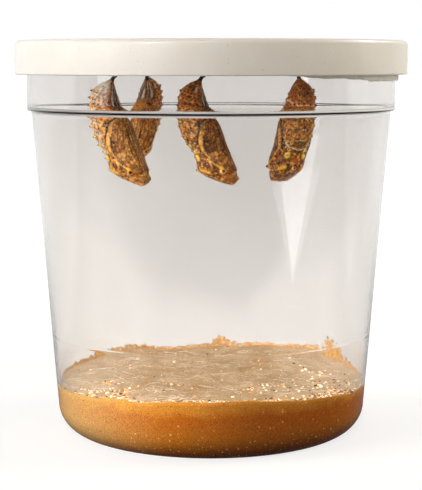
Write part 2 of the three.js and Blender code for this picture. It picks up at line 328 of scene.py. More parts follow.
def clear_plastic():
    made, tree, shader = material("clear_plastic")
    where = add(tree, "ShaderNodeTexCoord").outputs["Object"]
    parts = add(tree, "ShaderNodeSeparateXYZ", {"Vector": where}).outputs
    from_ledge = calc(tree, "ABSOLUTE", calc(tree, "SUBTRACT", parts["Z"], LEDGE_Z * MM))
    near = spread(tree, parts["Y"], 15 * MM, -15 * MM)
    # Painted shade: the dark line at the ledge's bend, tinted into the near wall.
    dark = spread(tree, from_ledge, LEDGE_SHADE_LINE * 0.5 * MM, LEDGE_SHADE_LINE * 1.6 * MM, 1.0, 0.0)
    bright = spread(tree, from_ledge, LEDGE_GLOW * 0.8 * MM, LEDGE_GLOW * 1.25 * MM, 1.0, 0.0)
    tint = blend(tree, calc(tree, "MULTIPLY", dark, near), PLASTIC_TINT, colour(20, 16, 42))
    # Painted light: the far wall scatters more than the near one, so it catches the lamps and the lid's
    # shadow.
    clear = spread(tree, parts["Y"], -HAZE_REACH * MM, HAZE_REACH * MM, CLEAR_FRONT, CLEAR_BACK)
    # Painted highlight: the milky band round the ledge line, on the near half.
    ledge_highlight = calc(tree, "MULTIPLY", bright, spread(tree, near, 0.0, 1.0, 0.0, LEDGE_HIGHLIGHT_SHARE))
    neck = spread(tree, parts["Z"], NECK_START * MM, LEDGE_Z * MM, 0.5, CLEAR_NECK)
    clear = calc(tree, "MAXIMUM", clear, neck)
    clear = calc(tree, "SUBTRACT", clear, ledge_highlight)
    stretched = add(tree, "ShaderNodeMapping", {"Vector": where, "Scale": (1, 1, 0.06)}).outputs[0]
    flow = grain(tree, stretched, 2.5, detail=2.0)
    bump = add(tree, "ShaderNodeBump", {"Strength": 0.05, "Distance": 0.05 * MM, "Height": flow})
    rough = spread(tree, grain(tree, where, 9.0), 0.35, 0.7, 0.0, 0.03)
    plug(
        tree, shader,
        {"Base Color": tint, "Roughness": rough, "IOR": PLASTIC_IOR, "Transmission Weight": clear}
    )
    plug(tree, shader, {"Normal": bump.outputs[0]})
    passing = add(tree, "ShaderNodeBsdfTransparent", {"Color": (0.97, 0.97, 0.97, 1)})
    lamp = add(tree, "ShaderNodeLightPath").outputs["Is Shadow Ray"]
    mixed = add(tree, "ShaderNodeMixShader", {0: lamp, 1: shader.outputs[0], 2: passing.outputs[0]})
    plug(tree, tree.nodes["Material Output"], {"Surface": mixed.outputs[0]})
    return made


PLASTIC = clear_plastic()
print("each face lets through", CLEAR_FRONT, "in front and", CLEAR_BACK, "behind")

# %% [markdown]
# ## The cup
# One outline gives the whole cup: flat foot, rounded heel, tapered wall, the ledge that stacked cups rest
# on, a straight neck and a rounded lip, and then the inside back to the middle. Corners that a mould would
# round are rounded here too, because the light bends at them. A hairline ring is where two parts of the
# mould meet.

# %% Cup
high_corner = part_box("cup")[1]
NECK_RADIUS = high_corner.x / MM
LIP_Z = high_corner.z / MM
WALL = 0.6
BASE_RADIUS = NECK_RADIUS - 6.0
HEEL_RADIUS = 6.5
BODY_TOP_RADIUS = NECK_RADIUS - 0.9
LEDGE_ROUND = 0.22
RING_Z = 22.0
RING_DEPTH = 0.03
CUP_STEPS = 192


def body_radius(z):
    """Outside radius of the tapered body at a height."""
    share = (np.asarray(z, float) - HEEL_RADIUS) / (LEDGE_Z - HEEL_RADIUS)
    return BASE_RADIUS + (BODY_TOP_RADIUS - BASE_RADIUS) * share


def inner_radius(z):
    """Inside radius of the body, with its rounded heel."""
    z = np.asarray(z, float)
    centre = BASE_RADIUS - HEEL_RADIUS
    drop = np.clip(HEEL_RADIUS - z, 0, HEEL_RADIUS - WALL)
    heel = centre + np.sqrt((HEEL_RADIUS - WALL) ** 2 - drop**2)
    return np.where(z < HEEL_RADIUS, heel, body_radius(z) - WALL)


def cup_outline():
    centre = BASE_RADIUS - HEEL_RADIUS
    outside = [(0, 0), *arc(centre, HEEL_RADIUS, HEEL_RADIUS, -90, 0, 18)]
    ring = [(-0.5, 0), (-0.2, 0), (0, RING_DEPTH), (0.2, 0), (0.5, 0)]
    outside.append((float(body_radius(HEEL_RADIUS + 1.0)), HEEL_RADIUS + 1.0))
    outside += [(float(body_radius(RING_Z + up)) - cut, RING_Z + up) for up, cut in ring]
    outside.append((float(body_radius(LEDGE_Z - 1.2)), LEDGE_Z - 1.2))
    outside += arc(BODY_TOP_RADIUS + LEDGE_ROUND, LEDGE_Z - 0.25 - LEDGE_ROUND, LEDGE_ROUND, 180, 100, 4)
    outside += arc(NECK_RADIUS - LEDGE_ROUND, LEDGE_Z + LEDGE_ROUND - 0.15, LEDGE_ROUND, -80, 0, 4)
    lip = [(NECK_RADIUS, LEDGE_Z + 0.9), (NECK_RADIUS, LIP_Z - WALL)]
    lip += arc(NECK_RADIUS - WALL / 2, LIP_Z - WALL / 2, WALL / 2, 0, 180, 8)
    lip += [(NECK_RADIUS - WALL, LIP_Z - WALL), (NECK_RADIUS - WALL, LEDGE_Z + 1.6)]
    inside = arc(NECK_RADIUS - WALL - 0.25, LEDGE_Z + 0.75, 0.25, 0, -70, 4)
    inside += arc(BODY_TOP_RADIUS - WALL + 0.25, LEDGE_Z + 0.1, 0.25, 110, 180, 4)
    inside += [(float(body_radius(z)) - WALL, z) for z in (LEDGE_Z - 1.0, HEEL_RADIUS + 1.0)]
    inside += arc(centre, HEEL_RADIUS, HEEL_RADIUS - WALL, 0, -90, 18)
    return [*outside, *lip, *inside, (0, WALL)]


cup = turned("clear_cup", cup_outline(), PLASTIC, CUP_STEPS)
finish_piece(cup, ["cup"], sharp=40)

# %% [markdown]
# ## The lid
# The lid is white polyethylene, pressed on over the lip of the cup. It is waxy rather than shiny, lets a
# trace of light glow through, and has the faint orange-peel of its mould. It is a second turned outline: a
# skirt, a rounded edge, and a panel sunk inside the neck with the flat ribs that stiffen such a panel. The
# skirt's foot stands above the ledge, so a strip of the neck shows between them.

# %% Lid
high_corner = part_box("lid")[1]
LID_RADIUS = high_corner.x / MM
LID_TOP = high_corner.z / MM
SKIRT_Z = 77.4
PANEL_Z = 78.7  # underside of the sunken panel
LID_SHEET = 1.1
SKIRT_WALL = 1.3
EDGE_ROUND = 1.0
PLUG_RADIUS = 37.7
PLUG_WALL = 1.2
RIBS = [12.0, 24.0]
RIB_SHAPE = [(0.7, 0), (0.45, 0.3), (-0.45, 0.3), (-0.7, 0)]
LID_STEPS = 192


def white_plastic():
    made, tree, shader = material("white_plastic")
    where = add(tree, "ShaderNodeTexCoord").outputs["Object"]
    cloud = spread(tree, grain(tree, where, 14.0), 0.3, 0.7)
    tint = blend(tree, cloud, colour(239, 233, 224), colour(245, 240, 232))
    fleck = spread(tree, grain(tree, where, 0.35, detail=1.0), 0.72, 0.76)
    peel = grain(tree, where, 0.8, detail=2.0)
    bump = add(tree, "ShaderNodeBump", {"Strength": 0.12, "Distance": 0.04 * MM, "Height": peel})
    plug(tree, shader, {"Base Color": blend(tree, fleck, tint, colour(215, 205, 190))})
    plug(tree, shader, {"Roughness": spread(tree, cloud, 0, 1, 0.38, 0.5), "Subsurface Weight": 0.15})
    plug(tree, shader, {"Coat Weight": 0.2, "Coat Roughness": 0.12})
    plug(
        tree, shader,
        {"Subsurface Radius": (2.0, 1.8, 1.5), "Subsurface Scale": MM, "Normal": bump.outputs[0]}
    )
    return made


def lid_outline():
    recess = PLUG_RADIUS - PLUG_WALL
    ceiling = LID_TOP - LID_SHEET
    under = [
        (0, PANEL_Z), (PLUG_RADIUS - 0.5, PANEL_Z), (PLUG_RADIUS, PANEL_Z + 0.5), (PLUG_RADIUS, ceiling)
    ]
    skirt_inside = LID_RADIUS - SKIRT_WALL
    under += [(skirt_inside, ceiling), (skirt_inside, SKIRT_Z + 0.3), (skirt_inside + 0.3, SKIRT_Z)]
    skirt = arc(LID_RADIUS - 0.35, SKIRT_Z + 0.35, 0.35, -90, 0, 4)
    crown = arc(LID_RADIUS - EDGE_ROUND, LID_TOP - EDGE_ROUND, EDGE_ROUND, 0, 90, 7)
    crown += arc(recess + 0.7, LID_TOP - 0.7, 0.7, 90, 180, 5)
    panel_top = PANEL_Z + LID_SHEET
    floor = arc(recess - 1.0, panel_top + 1.0, 1.0, 0, -90, 5)
    for radius in reversed(RIBS):
        floor += [(radius + off, panel_top + up) for off, up in RIB_SHAPE]
    return [*under, *skirt, *crown, *floor, (0, panel_top)]


LID_PLASTIC = white_plastic()
lid = turned("white_lid", lid_outline(), LID_PLASTIC, LID_STEPS)
finish_piece(lid, ["lid"], sharp=35)

# %% [markdown]
# ## The paper liner
# A disc of thin tissue is laid over the cup before the lid goes on, so the caterpillars have something
# rough to hang from. The lid crumples it: flat under the panel, up beside the plug, over the lip and down
# behind the skirt, where its torn edge peeps out on one side. Tissue is matt and fibrous and lets some light
# through, so its finish is rough fibres with a little light scattered under them.


# %% Tissue
def tissue():
    made, tree, shader = material("liner_tissue")
    where = add(tree, "ShaderNodeTexCoord").outputs["Object"]
    fibre = grain(tree, where, 0.5, detail=5.0, roughness=0.7)
    crease = grain(tree, where, 4.0, detail=2.0)
    tint = ramp(
        tree, fibre,
        [(0.3, colour(214, 206, 192)), (0.5, colour(236, 231, 221)), (0.7, colour(246, 243, 236))]
    )
    height = calc(tree, "ADD", fibre, crease)
    bump = add(tree, "ShaderNodeBump", {"Strength": 0.5, "Distance": 0.15 * MM, "Height": height})
    plug(
        tree, shader,
        {"Base Color": tint, "Roughness": 0.9, "Sheen Weight": 0.3, "Normal": bump.outputs[0]}
    )
    plug(
        tree, shader,
        {"Subsurface Weight": 0.3, "Subsurface Radius": (0.6, 0.5, 0.4), "Subsurface Scale": MM}
    )
    return made


TISSUE = tissue()
print("the paper's finish is", TISSUE.name)

# %% [markdown]
# ## Folding the paper
# A cloth simulation could crumple the sheet, but where it runs is known: flat, up, over and down. So a route
# gives each ring of points its radius and its height, noise pushes the rings into pleats, and Solidify gives
# the finished sheet its thickness.

# %% Paper liner
PAPER_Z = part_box("paper_liner")[0].z / MM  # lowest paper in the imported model: the end of its fold
print("the packed paper is folded down to", round(PAPER_Z, 2), "mm")
PAPER_UNDER_Z = 78.15
PAPER_THICK = 0.12
PAPER_ROUND = 360
TORN_MIDDLE = -22.0  # heading of the torn edge that shows, in degrees from +X
TORN_REACH = 52.0
TORN_DROP = 1.75
PAPER_ROUTE = [
    (1.0, 0.0), (6.0, 0.0), (12.0, 0.0), (18.0, 0.0), (24.0, 0.0), (29.0, 0.0), (33.0, 0.0), (36.0, 0.0),
    (37.6, 0.05), (38.15, 0.5), (38.2, 1.5), (38.2, 3.0), (38.2, 4.2), (38.5, 4.75), (39.3, 4.95),
    (40.0, 4.8), (40.15, 4.0), (40.1, 2.6), (40.1, 1.4), (40.1, 0.6),
]


def paper_sheet():
    headings = np.linspace(-180, 180, PAPER_ROUND, endpoint=False)
    ring = np.radians(headings)
    round_place = np.stack([np.cos(ring), np.sin(ring), ring * 0], -1) * 40
    torn = np.clip(1 - np.abs(headings - TORN_MIDDLE) / TORN_REACH, 0, 1) ** 0.6
    ragged = 0.3 * lumps(round_place, 2.2, 5) + 0.2 * lumps(round_place, 0.9, 6)
    rows = []
    for radius, up in PAPER_ROUTE:
        wave = lumps(round_place * (radius / 40) + [0, 0, up * 2], 3.0 + radius / 12, 7)
        folded = radius > 39.9
        out = radius + (
            0.22 * lumps(round_place + [0, 0, up], 1.8, 8) if folded else 0.08 * wave * (radius > 37)
        )
        height = PAPER_UNDER_Z + up + PAPER_THICK + (0.05 * wave if up == 0 else 0)
        rows.append(np.stack([np.cos(ring) * out, np.sin(ring) * out, height + ring * 0], -1))
    for share in (0.35, 0.7, 1.0):
        edge = SKIRT_Z + 0.75 - share * (0.35 + torn * (TORN_DROP + ragged))
        out = 40.1 + 0.3 * lumps(round_place + [0, 0, share * 2], 1.6, 9) * (1 + 0.6 * torn * share)
        out -= 0.15 * torn * share
        rows.append(np.stack([np.cos(ring) * out, np.sin(ring) * out, edge], -1))
    return np.array(rows)


def sheet_faces(rows, columns, start=0):
    """Quads of a grid of rows that closes on itself sideways."""
    turn = np.arange(columns)
    after = (turn + 1) % columns
    quads = []
    for row in range(rows - 1):
        low, high = start + row * columns, start + (row + 1) * columns
        quads.append(np.stack([low + turn, low + after, high + after, high + turn], -1))
    return np.concatenate(quads)


sheet = paper_sheet()
paper_points = np.concatenate([[[0, 0, PAPER_UNDER_Z + PAPER_THICK]], sheet.reshape(-1, 3)])
paper_faces = [(0, 1 + i, 1 + (i + 1) % PAPER_ROUND) for i in range(PAPER_ROUND)]
paper_faces += sheet_faces(len(sheet), PAPER_ROUND, 1)[:, ::-1].tolist()
paper = mesh_object("paper_liner_sheet", paper_points, paper_faces)
thickness = paper.modifiers.new("thickness", "SOLIDIFY")
thickness.thickness = PAPER_THICK * MM
thickness.offset = 0
paper.data = bpy.data.meshes.new_from_object(paper.evaluated_get(bpy.context.evaluated_depsgraph_get()))
paper.modifiers.clear()
paper.data.materials.append(TISSUE)
finish_piece(paper, ["paper_liner"])

# %% [markdown]
# ## The bed of food
# The caterpillars' food is a soft brown paste, spooned in warm, so it wets the wall and keeps the shape of
# the heel. Against the wall it looks like caramel; its open top is dried, paler and covered with silk and
# droppings. One closed mesh holds both: rings that follow the inside of the cup, then rings that run in
# over the uneven top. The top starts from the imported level, and sags or climbs a little towards the wall
# behind.

# %% Food shape
FOOD_Z = 11.4
FOOD_SADDLE = 1.0
FOOD_WAVE = 0.3
FOOD_WET = 0.3  # how far the paste is set into the wall, so that no air shows between them
FOOD_ROUND = 240
FOOD_SIDE_RINGS = 26
FOOD_TOP_RINGS = 84
# Where the top sags or climbs at the wall: rise in mm, heading and reach in degrees.
FOOD_SWELLS = [(-1.7, 95, 24), (0.75, 42, 20)]


def food_level(x, y):
    """Height of the top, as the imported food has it."""
    slope = FOOD_SADDLE * (y * y - x * x) / BASE_RADIUS**2
    waves = np.sin(x * 0.21 + 1) * np.cos(y * 0.17) + 0.5 * np.sin(x * 0.4 - y * 0.33)
    return FOOD_Z + slope + FOOD_WAVE * waves


def food_tilt(x, y):
    """The paste sags at the back of the cup and climbs a little beside that."""
    heading = round_heading(x, y)
    out = np.hypot(x, y) / BASE_RADIUS
    rise = sum(swell * np.exp(-(((heading - middle) / reach) ** 2)) for swell, middle, reach in FOOD_SWELLS)
    return rise * out**3


def food_top(x, y):
    """The finished top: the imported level, lumps, and a skin drawn up a little where it meets the wall."""
    place = np.stack([x, y, x * 0], -1)
    rim = soft_step(2.2, 0.0, body_radius(FOOD_Z) - WALL - np.hypot(x, y))
    lump = 0.28 * lumps(place, 3.1, 11) + 0.14 * lumps(place, 1.1, 12) + 0.07 * lumps(place, 0.45, 13)
    return food_level(x, y) + food_tilt(x, y) + lump * (1 - 0.6 * rim) + 0.45 * rim


def food_points():
    ring = np.radians(np.linspace(0, 360, FOOD_ROUND, endpoint=False))
    rim_radius = float(inner_radius(FOOD_Z)) + FOOD_WET
    rim_z = food_top(np.cos(ring) * rim_radius, np.sin(ring) * rim_radius)
    rows = []
    centre = BASE_RADIUS - HEEL_RADIUS
    for share in np.linspace(0.3, 1, 8):
        flat = centre * share
        rows.append(np.stack([np.cos(ring) * flat, np.sin(ring) * flat, WALL - FOOD_WET + ring * 0], -1))
    for share in np.linspace(0, 1, FOOD_SIDE_RINGS)[1:]:
        z = WALL - FOOD_WET + (rim_z - WALL + FOOD_WET) * share**1.7
        out = inner_radius(z) + FOOD_WET
        rows.append(np.stack([np.cos(ring) * out, np.sin(ring) * out, z], -1))
    sides = len(rows)
    for share in np.linspace(1, 0, FOOD_TOP_RINGS + 1)[1:-1]:
        x, y = np.cos(ring) * rim_radius * share, np.sin(ring) * rim_radius * share
        rows.append(np.stack([x, y, food_top(x, y)], -1))
    return np.array(rows), sides


food_rows, side_rows = food_points()
food_ends = [[0, 0, WALL - FOOD_WET], [0, 0, float(food_top(np.zeros(1), np.zeros(1))[0])]]
food_mesh_points = np.concatenate([food_ends, food_rows.reshape(-1, 3)])
food_faces = sheet_faces(len(food_rows), FOOD_ROUND, 2).tolist()
last_ring = 2 + (len(food_rows) - 1) * FOOD_ROUND
for i in range(FOOD_ROUND):
    after = (i + 1) % FOOD_ROUND
    food_faces.append((0, 2 + after, 2 + i))
    food_faces.append((1, last_ring + i, last_ring + after))
food = mesh_object("food_bed", food_mesh_points, food_faces)
on_top = np.zeros(len(food_mesh_points))
on_top[1] = 1
on_top[2 + side_rows * FOOD_ROUND :] = 1
set_attribute(food, "top", on_top)
print("food rises to", round(float(food_mesh_points[:, 2].max()), 2), "mm")

# %% [markdown]
# ## How the food looks
# The paste is drawn in layers. A ramp by height runs from a brown foot to a yellow upper rim, and the dark
# foot is partly painted shade, where the heel darkens the paste. The paste is painted paler at the left, as
# painted light, and darker and redder in front of the right, as painted shade. Fine grit and pale and rusty
# flecks are pressed against the wall, the pale ones mostly low down. The open top is a beige skin, paler
# towards its two ends, with the same flecks. The layers are mixed by the top attribute, so one finish wraps
# round the edge without a seam.

# %% Food finish
# Colours of the paste by height; the dark foot is partly painted shade.
SIDE_RAMP = [
    (0.0, colour(140, 66, 8)),
    (0.25, colour(174, 108, 20)),
    (0.6, colour(186, 108, 14)),
    (0.88, colour(196, 108, 8)),
    (1.0, colour(226, 156, 52)),
]
SKIN_RAMP = [
    (0.32, colour(140, 106, 68)),
    (0.45, colour(170, 138, 100)),
    (0.56, colour(190, 164, 132)),
    (0.7, colour(226, 208, 182)),
]
FLECK_SPACING = 0.8


def food_side(tree, parts, cloud, fine, grit):
    """The paste against the wall, before its flecks."""
    level = spread(tree, parts["Z"], 0.5 * MM, 12.0 * MM)
    level = calc(tree, "ADD", level, calc(tree, "MULTIPLY", cloud, 0.25))
    side = ramp(tree, calc(tree, "SUBTRACT", level, 0.12), SIDE_RAMP)
    side = blend(tree, spread(tree, fine, 0.35, 0.65, 0.0, 0.3), side, colour(212, 134, 22))
    # Painted light: the paste is paler towards the left.
    lit = spread(tree, parts["X"], -6 * MM, -36 * MM, 0.0, 0.75)
    side = blend(tree, lit, side, colour(218, 186, 124))
    # Painted shade: darker and redder in front of the right, easing off at the far right.
    shade = spread(tree, parts["X"], -20 * MM, 14 * MM, 0.0, 0.5)
    shade = calc(tree, "MULTIPLY", shade, spread(tree, parts["X"], 22 * MM, 36 * MM, 1.0, 0.2))
    side = blend(tree, shade, side, colour(84, 8, 0))
    grey = add(tree, "ShaderNodeCombineColor", {0: grit, 1: grit, 2: grit}).outputs[0]
    return blend(tree, 1.0, side, grey, "MULTIPLY")


def food_skin(tree, parts, cloud, fine):
    """The dried skin on top, before its flecks."""
    mottled = calc(tree, "ADD", calc(tree, "MULTIPLY", cloud, 0.4), calc(tree, "MULTIPLY", fine, 0.6))
    outward = spread(tree, calc(tree, "ABSOLUTE", parts["X"]), 10 * MM, 34 * MM, 0.0, 0.5)
    return blend(tree, outward, ramp(tree, mottled, SKIN_RAMP), colour(228, 208, 184))


def food_finish():
    made, tree, shader = material("food_paste")
    where = add(tree, "ShaderNodeTexCoord").outputs["Object"]
    parts = add(tree, "ShaderNodeSeparateXYZ", {"Vector": where}).outputs
    cloud = grain(tree, where, 5.0, detail=4.0)
    fine = grain(tree, where, 0.4, detail=4.0, roughness=0.7)
    grit = spread(tree, grain(tree, where, 0.2, detail=2.0, roughness=0.6), 0.38, 0.62, 0.72, 1.2)
    cells = {"Vector": where, "Scale": 1 / (FLECK_SPACING * MM), "Randomness": 1.0}
    fleck = add(tree, "ShaderNodeTexVoronoi", cells).outputs
    pick = add(tree, "ShaderNodeSeparateColor", {"Color": fleck["Color"]}).outputs
    uneven = calc(tree, "ADD", fleck["Distance"], spread(tree, fine, 0.3, 0.7, -0.16, 0.16))
    small = spread(tree, uneven, 0.1, 0.25, 1.0, 0.0)
    low = spread(tree, parts["Z"], 10 * MM, 2 * MM, 0.0, 0.3)
    pale = calc(tree, "MULTIPLY", small, spread(tree, calc(tree, "ADD", pick[0], low), 0.6, 1.1, 0.0, 0.9))
    rust = calc(tree, "MULTIPLY", small, spread(tree, pick[1], 0.9, 0.94, 0.0, 0.9))
    side = food_side(tree, parts, cloud, fine, grit)
    side = blend(tree, pale, side, blend(tree, pick[2], colour(204, 134, 46), colour(250, 206, 132)))
    side = blend(tree, rust, side, colour(128, 44, 12))
    skin = blend(tree, pale, food_skin(tree, parts, cloud, fine), colour(246, 236, 218))
    skin = blend(tree, rust, skin, colour(140, 88, 40))
    top = add(tree, "ShaderNodeAttribute", attribute_name="top").outputs["Fac"]
    bump_height = calc(tree, "ADD", fine, calc(tree, "MULTIPLY", small, 0.6))
    bump = add(tree, "ShaderNodeBump", {"Strength": 0.6, "Distance": 0.25 * MM, "Height": bump_height})
    plug(tree, shader, {"Base Color": blend(tree, top, side, skin), "Normal": bump.outputs[0]})
    plug(tree, shader, {"Roughness": spread(tree, top, 0, 1, 0.5, 0.75), "Specular IOR Level": 0.12})
    return made


FOOD_PASTE = food_finish()
food.data.materials.append(FOOD_PASTE)
finish_piece(food, ["food"])

# %% [markdown]
# ## Smears up the wall
# Caterpillars trail food up the wall as they climb, most of it behind and at the two sides. The film is a
# grid on the inside of the wall. An outline says how high it reaches at each heading, noise frays it, and
# only the cells that are still covered stay. Each point keeps how thickly it is covered, and the finish
# thins the film out by that and by a fine noise, so its edge is ragged and grainy.

# %% Smears
FILM_STEP = 0.3
FILM_THICK = 0.07
FILM_TOP = 18.0
# Heading in degrees, and how far above the food the film reaches there, in mm.
FILM_OUTLINE = np.array([
    (-20, 0.3), (0, 0.9), (12, 1.8), (18, 2.8), (23, 5.2), (31, 7.2), (38, 6.6), (43, 3.0), (52, 1.9),
    (62, 1.4), (81, 1.6), (86, 4.6), (91, 1.8), (108, 1.7), (112, 2.6), (116, 1.7), (125, 2.3), (135, 3.0),
    (146, 2.7), (158, 1.9), (170, 1.3), (182, 1.1), (200, 0.3),
])


def film_height(heading):
    return np.interp((heading + 90) % 360 - 90, FILM_OUTLINE[:, 0], FILM_OUTLINE[:, 1])


def film_cells():
    turns = int(2 * math.pi * BASE_RADIUS / FILM_STEP)
    heights = np.arange(FOOD_Z - 2.0, FILM_TOP, FILM_STEP)
    heading, z = np.meshgrid(np.linspace(-180, 180, turns, endpoint=False), heights, indexing="ij")
    out = inner_radius(z) + 0.05
    ring = np.radians(heading)
    points = np.stack([np.cos(ring) * out, np.sin(ring) * out, z], -1)
    above = z - food_top(points[..., 0], points[..., 1])
    patch = 0.7 + 0.26 * lumps(points, 2.6, 21)
    patch = patch + 0.2 * lumps(points, 1.0, 22) + 0.2 * lumps(points, 0.5, 23)
    cover = patch - above / film_height(heading)
    return points, (cover > 0) & (above > -0.6), soft_step(0.0, 0.7, cover)


def film_mesh():
    points, keep, cover = film_cells()
    turns, rows = keep.shape
    inner = points.copy()
    inner[..., :2] *= 1 - FILM_THICK / BASE_RADIUS
    index = np.arange(turns * rows).reshape(turns, rows)
    faces = []
    half = turns * rows
    for i, j in np.argwhere(keep[:, :-1]):
        a, b = index[i, j], index[(i + 1) % turns, j]
        c, d = index[(i + 1) % turns, j + 1], index[i, j + 1]
        faces += [(a, b, c, d), (half + a, half + d, half + c, half + b)]
        for (p, q), (di, dj) in zip([(b, a), (c, b), (d, c), (a, d)], [(0, -1), (1, 0), (0, 1), (-1, 0)]):
            if not keep[(i + di) % turns, j + dj] or (dj == 1 and j + 1 == rows - 1):
                faces.append((p, q, half + q, half + p))
    used = np.unique([corner for face in faces for corner in face])
    lookup = {old: new for new, old in enumerate(used)}
    every = np.concatenate([points.reshape(-1, 3), inner.reshape(-1, 3)])[used]
    both_covers = np.concatenate([cover.ravel() * 0, cover.ravel()])[used]
    return every, [tuple(lookup[corner] for corner in face) for face in faces], both_covers


def film_finish():
    made, tree, shader = material("food_smear")
    where = add(tree, "ShaderNodeTexCoord").outputs["Object"]
    fine = grain(tree, where, 0.7, detail=4.0, roughness=0.7)
    tint = ramp(
        tree, fine,
        [(0.3, colour(158, 108, 44)), (0.5, colour(188, 140, 74)), (0.7, colour(224, 188, 130))]
    )
    bump = add(tree, "ShaderNodeBump", {"Strength": 0.5, "Distance": 0.1 * MM, "Height": fine})
    cover = add(tree, "ShaderNodeAttribute", attribute_name="cover").outputs["Fac"]
    thin = spread(tree, grain(tree, where, 0.4, detail=4.0, roughness=0.7), 0.34, 0.6, 0.1, 1.9)
    plug(tree, shader, {"Base Color": tint, "Roughness": 0.5, "Normal": bump.outputs[0]})
    plug(tree, shader, {"Alpha": spread(tree, calc(tree, "MULTIPLY", cover, thin), 0.16, 0.5)})
    return made


film_points, film_faces, film_cover = film_mesh()
film = mesh_object("food_smears", film_points, film_faces)
set_attribute(film, "cover", film_cover)
film.data.materials.append(film_finish())
finish_piece(film, sharp=30)

# %% [markdown]
# ## Crumbs and droppings
# Loose grains lie along the front edge of the food and to the right, with a heap of them at the left. They
# repeat one small pebble, so a Geometry Nodes tree scatters points over a patch of the top, at a density
# painted on it, and sets a pebble with its own turn, size and tone on each. A second tree lays curved
# threads of silk in the same way.

# %% Scatter trees
PEBBLE_SEGMENTS = 6
PEBBLE_RINGS = 4


def random_value(tree, kind, low, high, seed):
    first = {"FLOAT": 2, "FLOAT_VECTOR": 0}[kind]
    output = {"FLOAT": 1, "FLOAT_VECTOR": 0}[kind]
    sockets = {first: low, first + 1: high, "Seed": seed}
    return add(tree, "FunctionNodeRandomValue", sockets, data_type=kind).outputs[output]


def painted_points(tree, inputs):
    """Points over the input mesh, as thick as its painted amount says, and the way that it faces there."""
    amount = add(tree, "GeometryNodeInputNamedAttribute", {"Name": "amount"}).outputs["Attribute"]
    density = calc(tree, "MULTIPLY", amount, inputs["Density"])
    sockets = {"Mesh": inputs["Geometry"], "Density": density, "Seed": inputs["Seed"]}
    return add(tree, "GeometryNodeDistributePointsOnFaces", sockets).outputs


def scatter_tree(finish):
    tree, inputs = new_tree("scatter grains", {
        "Density": ("NodeSocketFloat", 1e5), "Seed": ("NodeSocketInt", 1),
        "Smallest": ("NodeSocketFloat", 0.15 * MM), "Largest": ("NodeSocketFloat", 0.4 * MM)})
    spots = painted_points(tree, inputs)
    tone = random_value(tree, "FLOAT", 0.0, 1.0, 3)
    sockets = {"Geometry": spots["Points"], "Name": "tone", "Value": tone}
    toned = add(tree, "GeometryNodeStoreNamedAttribute", sockets, domain="POINT").outputs[0]
    pebble = add(
        tree, "GeometryNodeMeshUVSphere", {0: PEBBLE_SEGMENTS, 1: PEBBLE_RINGS, 2: 1.0}
    ).outputs["Mesh"]
    turn = random_value(tree, "FLOAT_VECTOR", (0, 0, 0), (math.tau, math.tau, math.tau), 4)
    shape = random_value(tree, "FLOAT_VECTOR", (0.3, 0.4, 0.4), (0.8, 1.1, 1.1), 5)
    size = random_value(tree, "FLOAT", inputs["Smallest"], inputs["Largest"], 6)
    scale = add(tree, "ShaderNodeVectorMath", {0: shape, "Scale": size}, operation="SCALE").outputs[0]
    sockets = {"Points": toned, "Instance": pebble, "Rotation": turn, "Scale": scale}
    placed = add(tree, "GeometryNodeInstanceOnPoints", sockets).outputs[0]
    end_tree(tree, placed, finish)
    return tree


CRUMB_RAMP = [
    (0.0, colour(70, 38, 14)),
    (0.24, colour(140, 84, 30)),
    (0.34, colour(226, 146, 44)),
    (0.58, colour(250, 190, 96)),
    (0.7, colour(252, 226, 180)),
    (1.0, colour(255, 248, 232)),
]


def grain_finish():
    made, tree, shader = material("crumbs")
    tone = add(tree, "ShaderNodeAttribute", attribute_name="tone").outputs["Fac"]
    where = add(tree, "ShaderNodeTexCoord").outputs["Object"]
    fine = grain(tree, where, 0.3)
    tint = ramp(tree, tone, CRUMB_RAMP)
    bump = add(tree, "ShaderNodeBump", {"Strength": 0.4, "Distance": 0.1 * MM, "Height": fine})
    plug(tree, shader, {"Base Color": tint, "Roughness": 0.5, "Normal": bump.outputs[0]})
    return made


SCATTER = scatter_tree(grain_finish())
print("a crumb has", PEBBLE_SEGMENTS * PEBBLE_RINGS, "faces")

# %% [markdown]
# ## Where the crumbs lie
# A density painted on the points of a patch is the simplest way to say where a scatter is thick. Here it is
# a band along the front edge plus a list of round heaps, both broken up by noise, over a thin sprinkling
# everywhere.


# %% Crumbs on the food
def top_patch(name, amount):
    """A copy of the food's open top that carries how thickly something lies on it."""
    top_points = food_rows[side_rows:].reshape(-1, 3)
    faces = sheet_faces(len(food_rows) - side_rows, FOOD_ROUND)
    patch = mesh_object(name, top_points, faces)
    set_attribute(patch, "amount", amount(top_points[:, 0], top_points[:, 1]))
    return patch


# Middle, reach in mm and thickness of each heap of crumbs.
HEAPS = [
    ((-22.8, -6.0), 2.6, 0.8),
    ((-18.5, -17.0), 3.4, 0.9),
    ((-9.5, -10.3), 1.1, 0.6),
    ((-6.3, -11.6), 1.3, 0.7),
    ((-2.8, -13.4), 1.1, 0.6),
    ((24.0, 3.0), 5.5, 0.2),
    ((20.0, -9.0), 5.0, 0.26),
    ((12.0, -15.0), 4.0, 0.4),
    ((27.0, -12.0), 4.5, 0.5),
    ((-25.0, -12.0), 2.2, 0.3),
]
CRUMB_DENSITY = 3.4e6  # grains on a square metre where the painted amount is 1


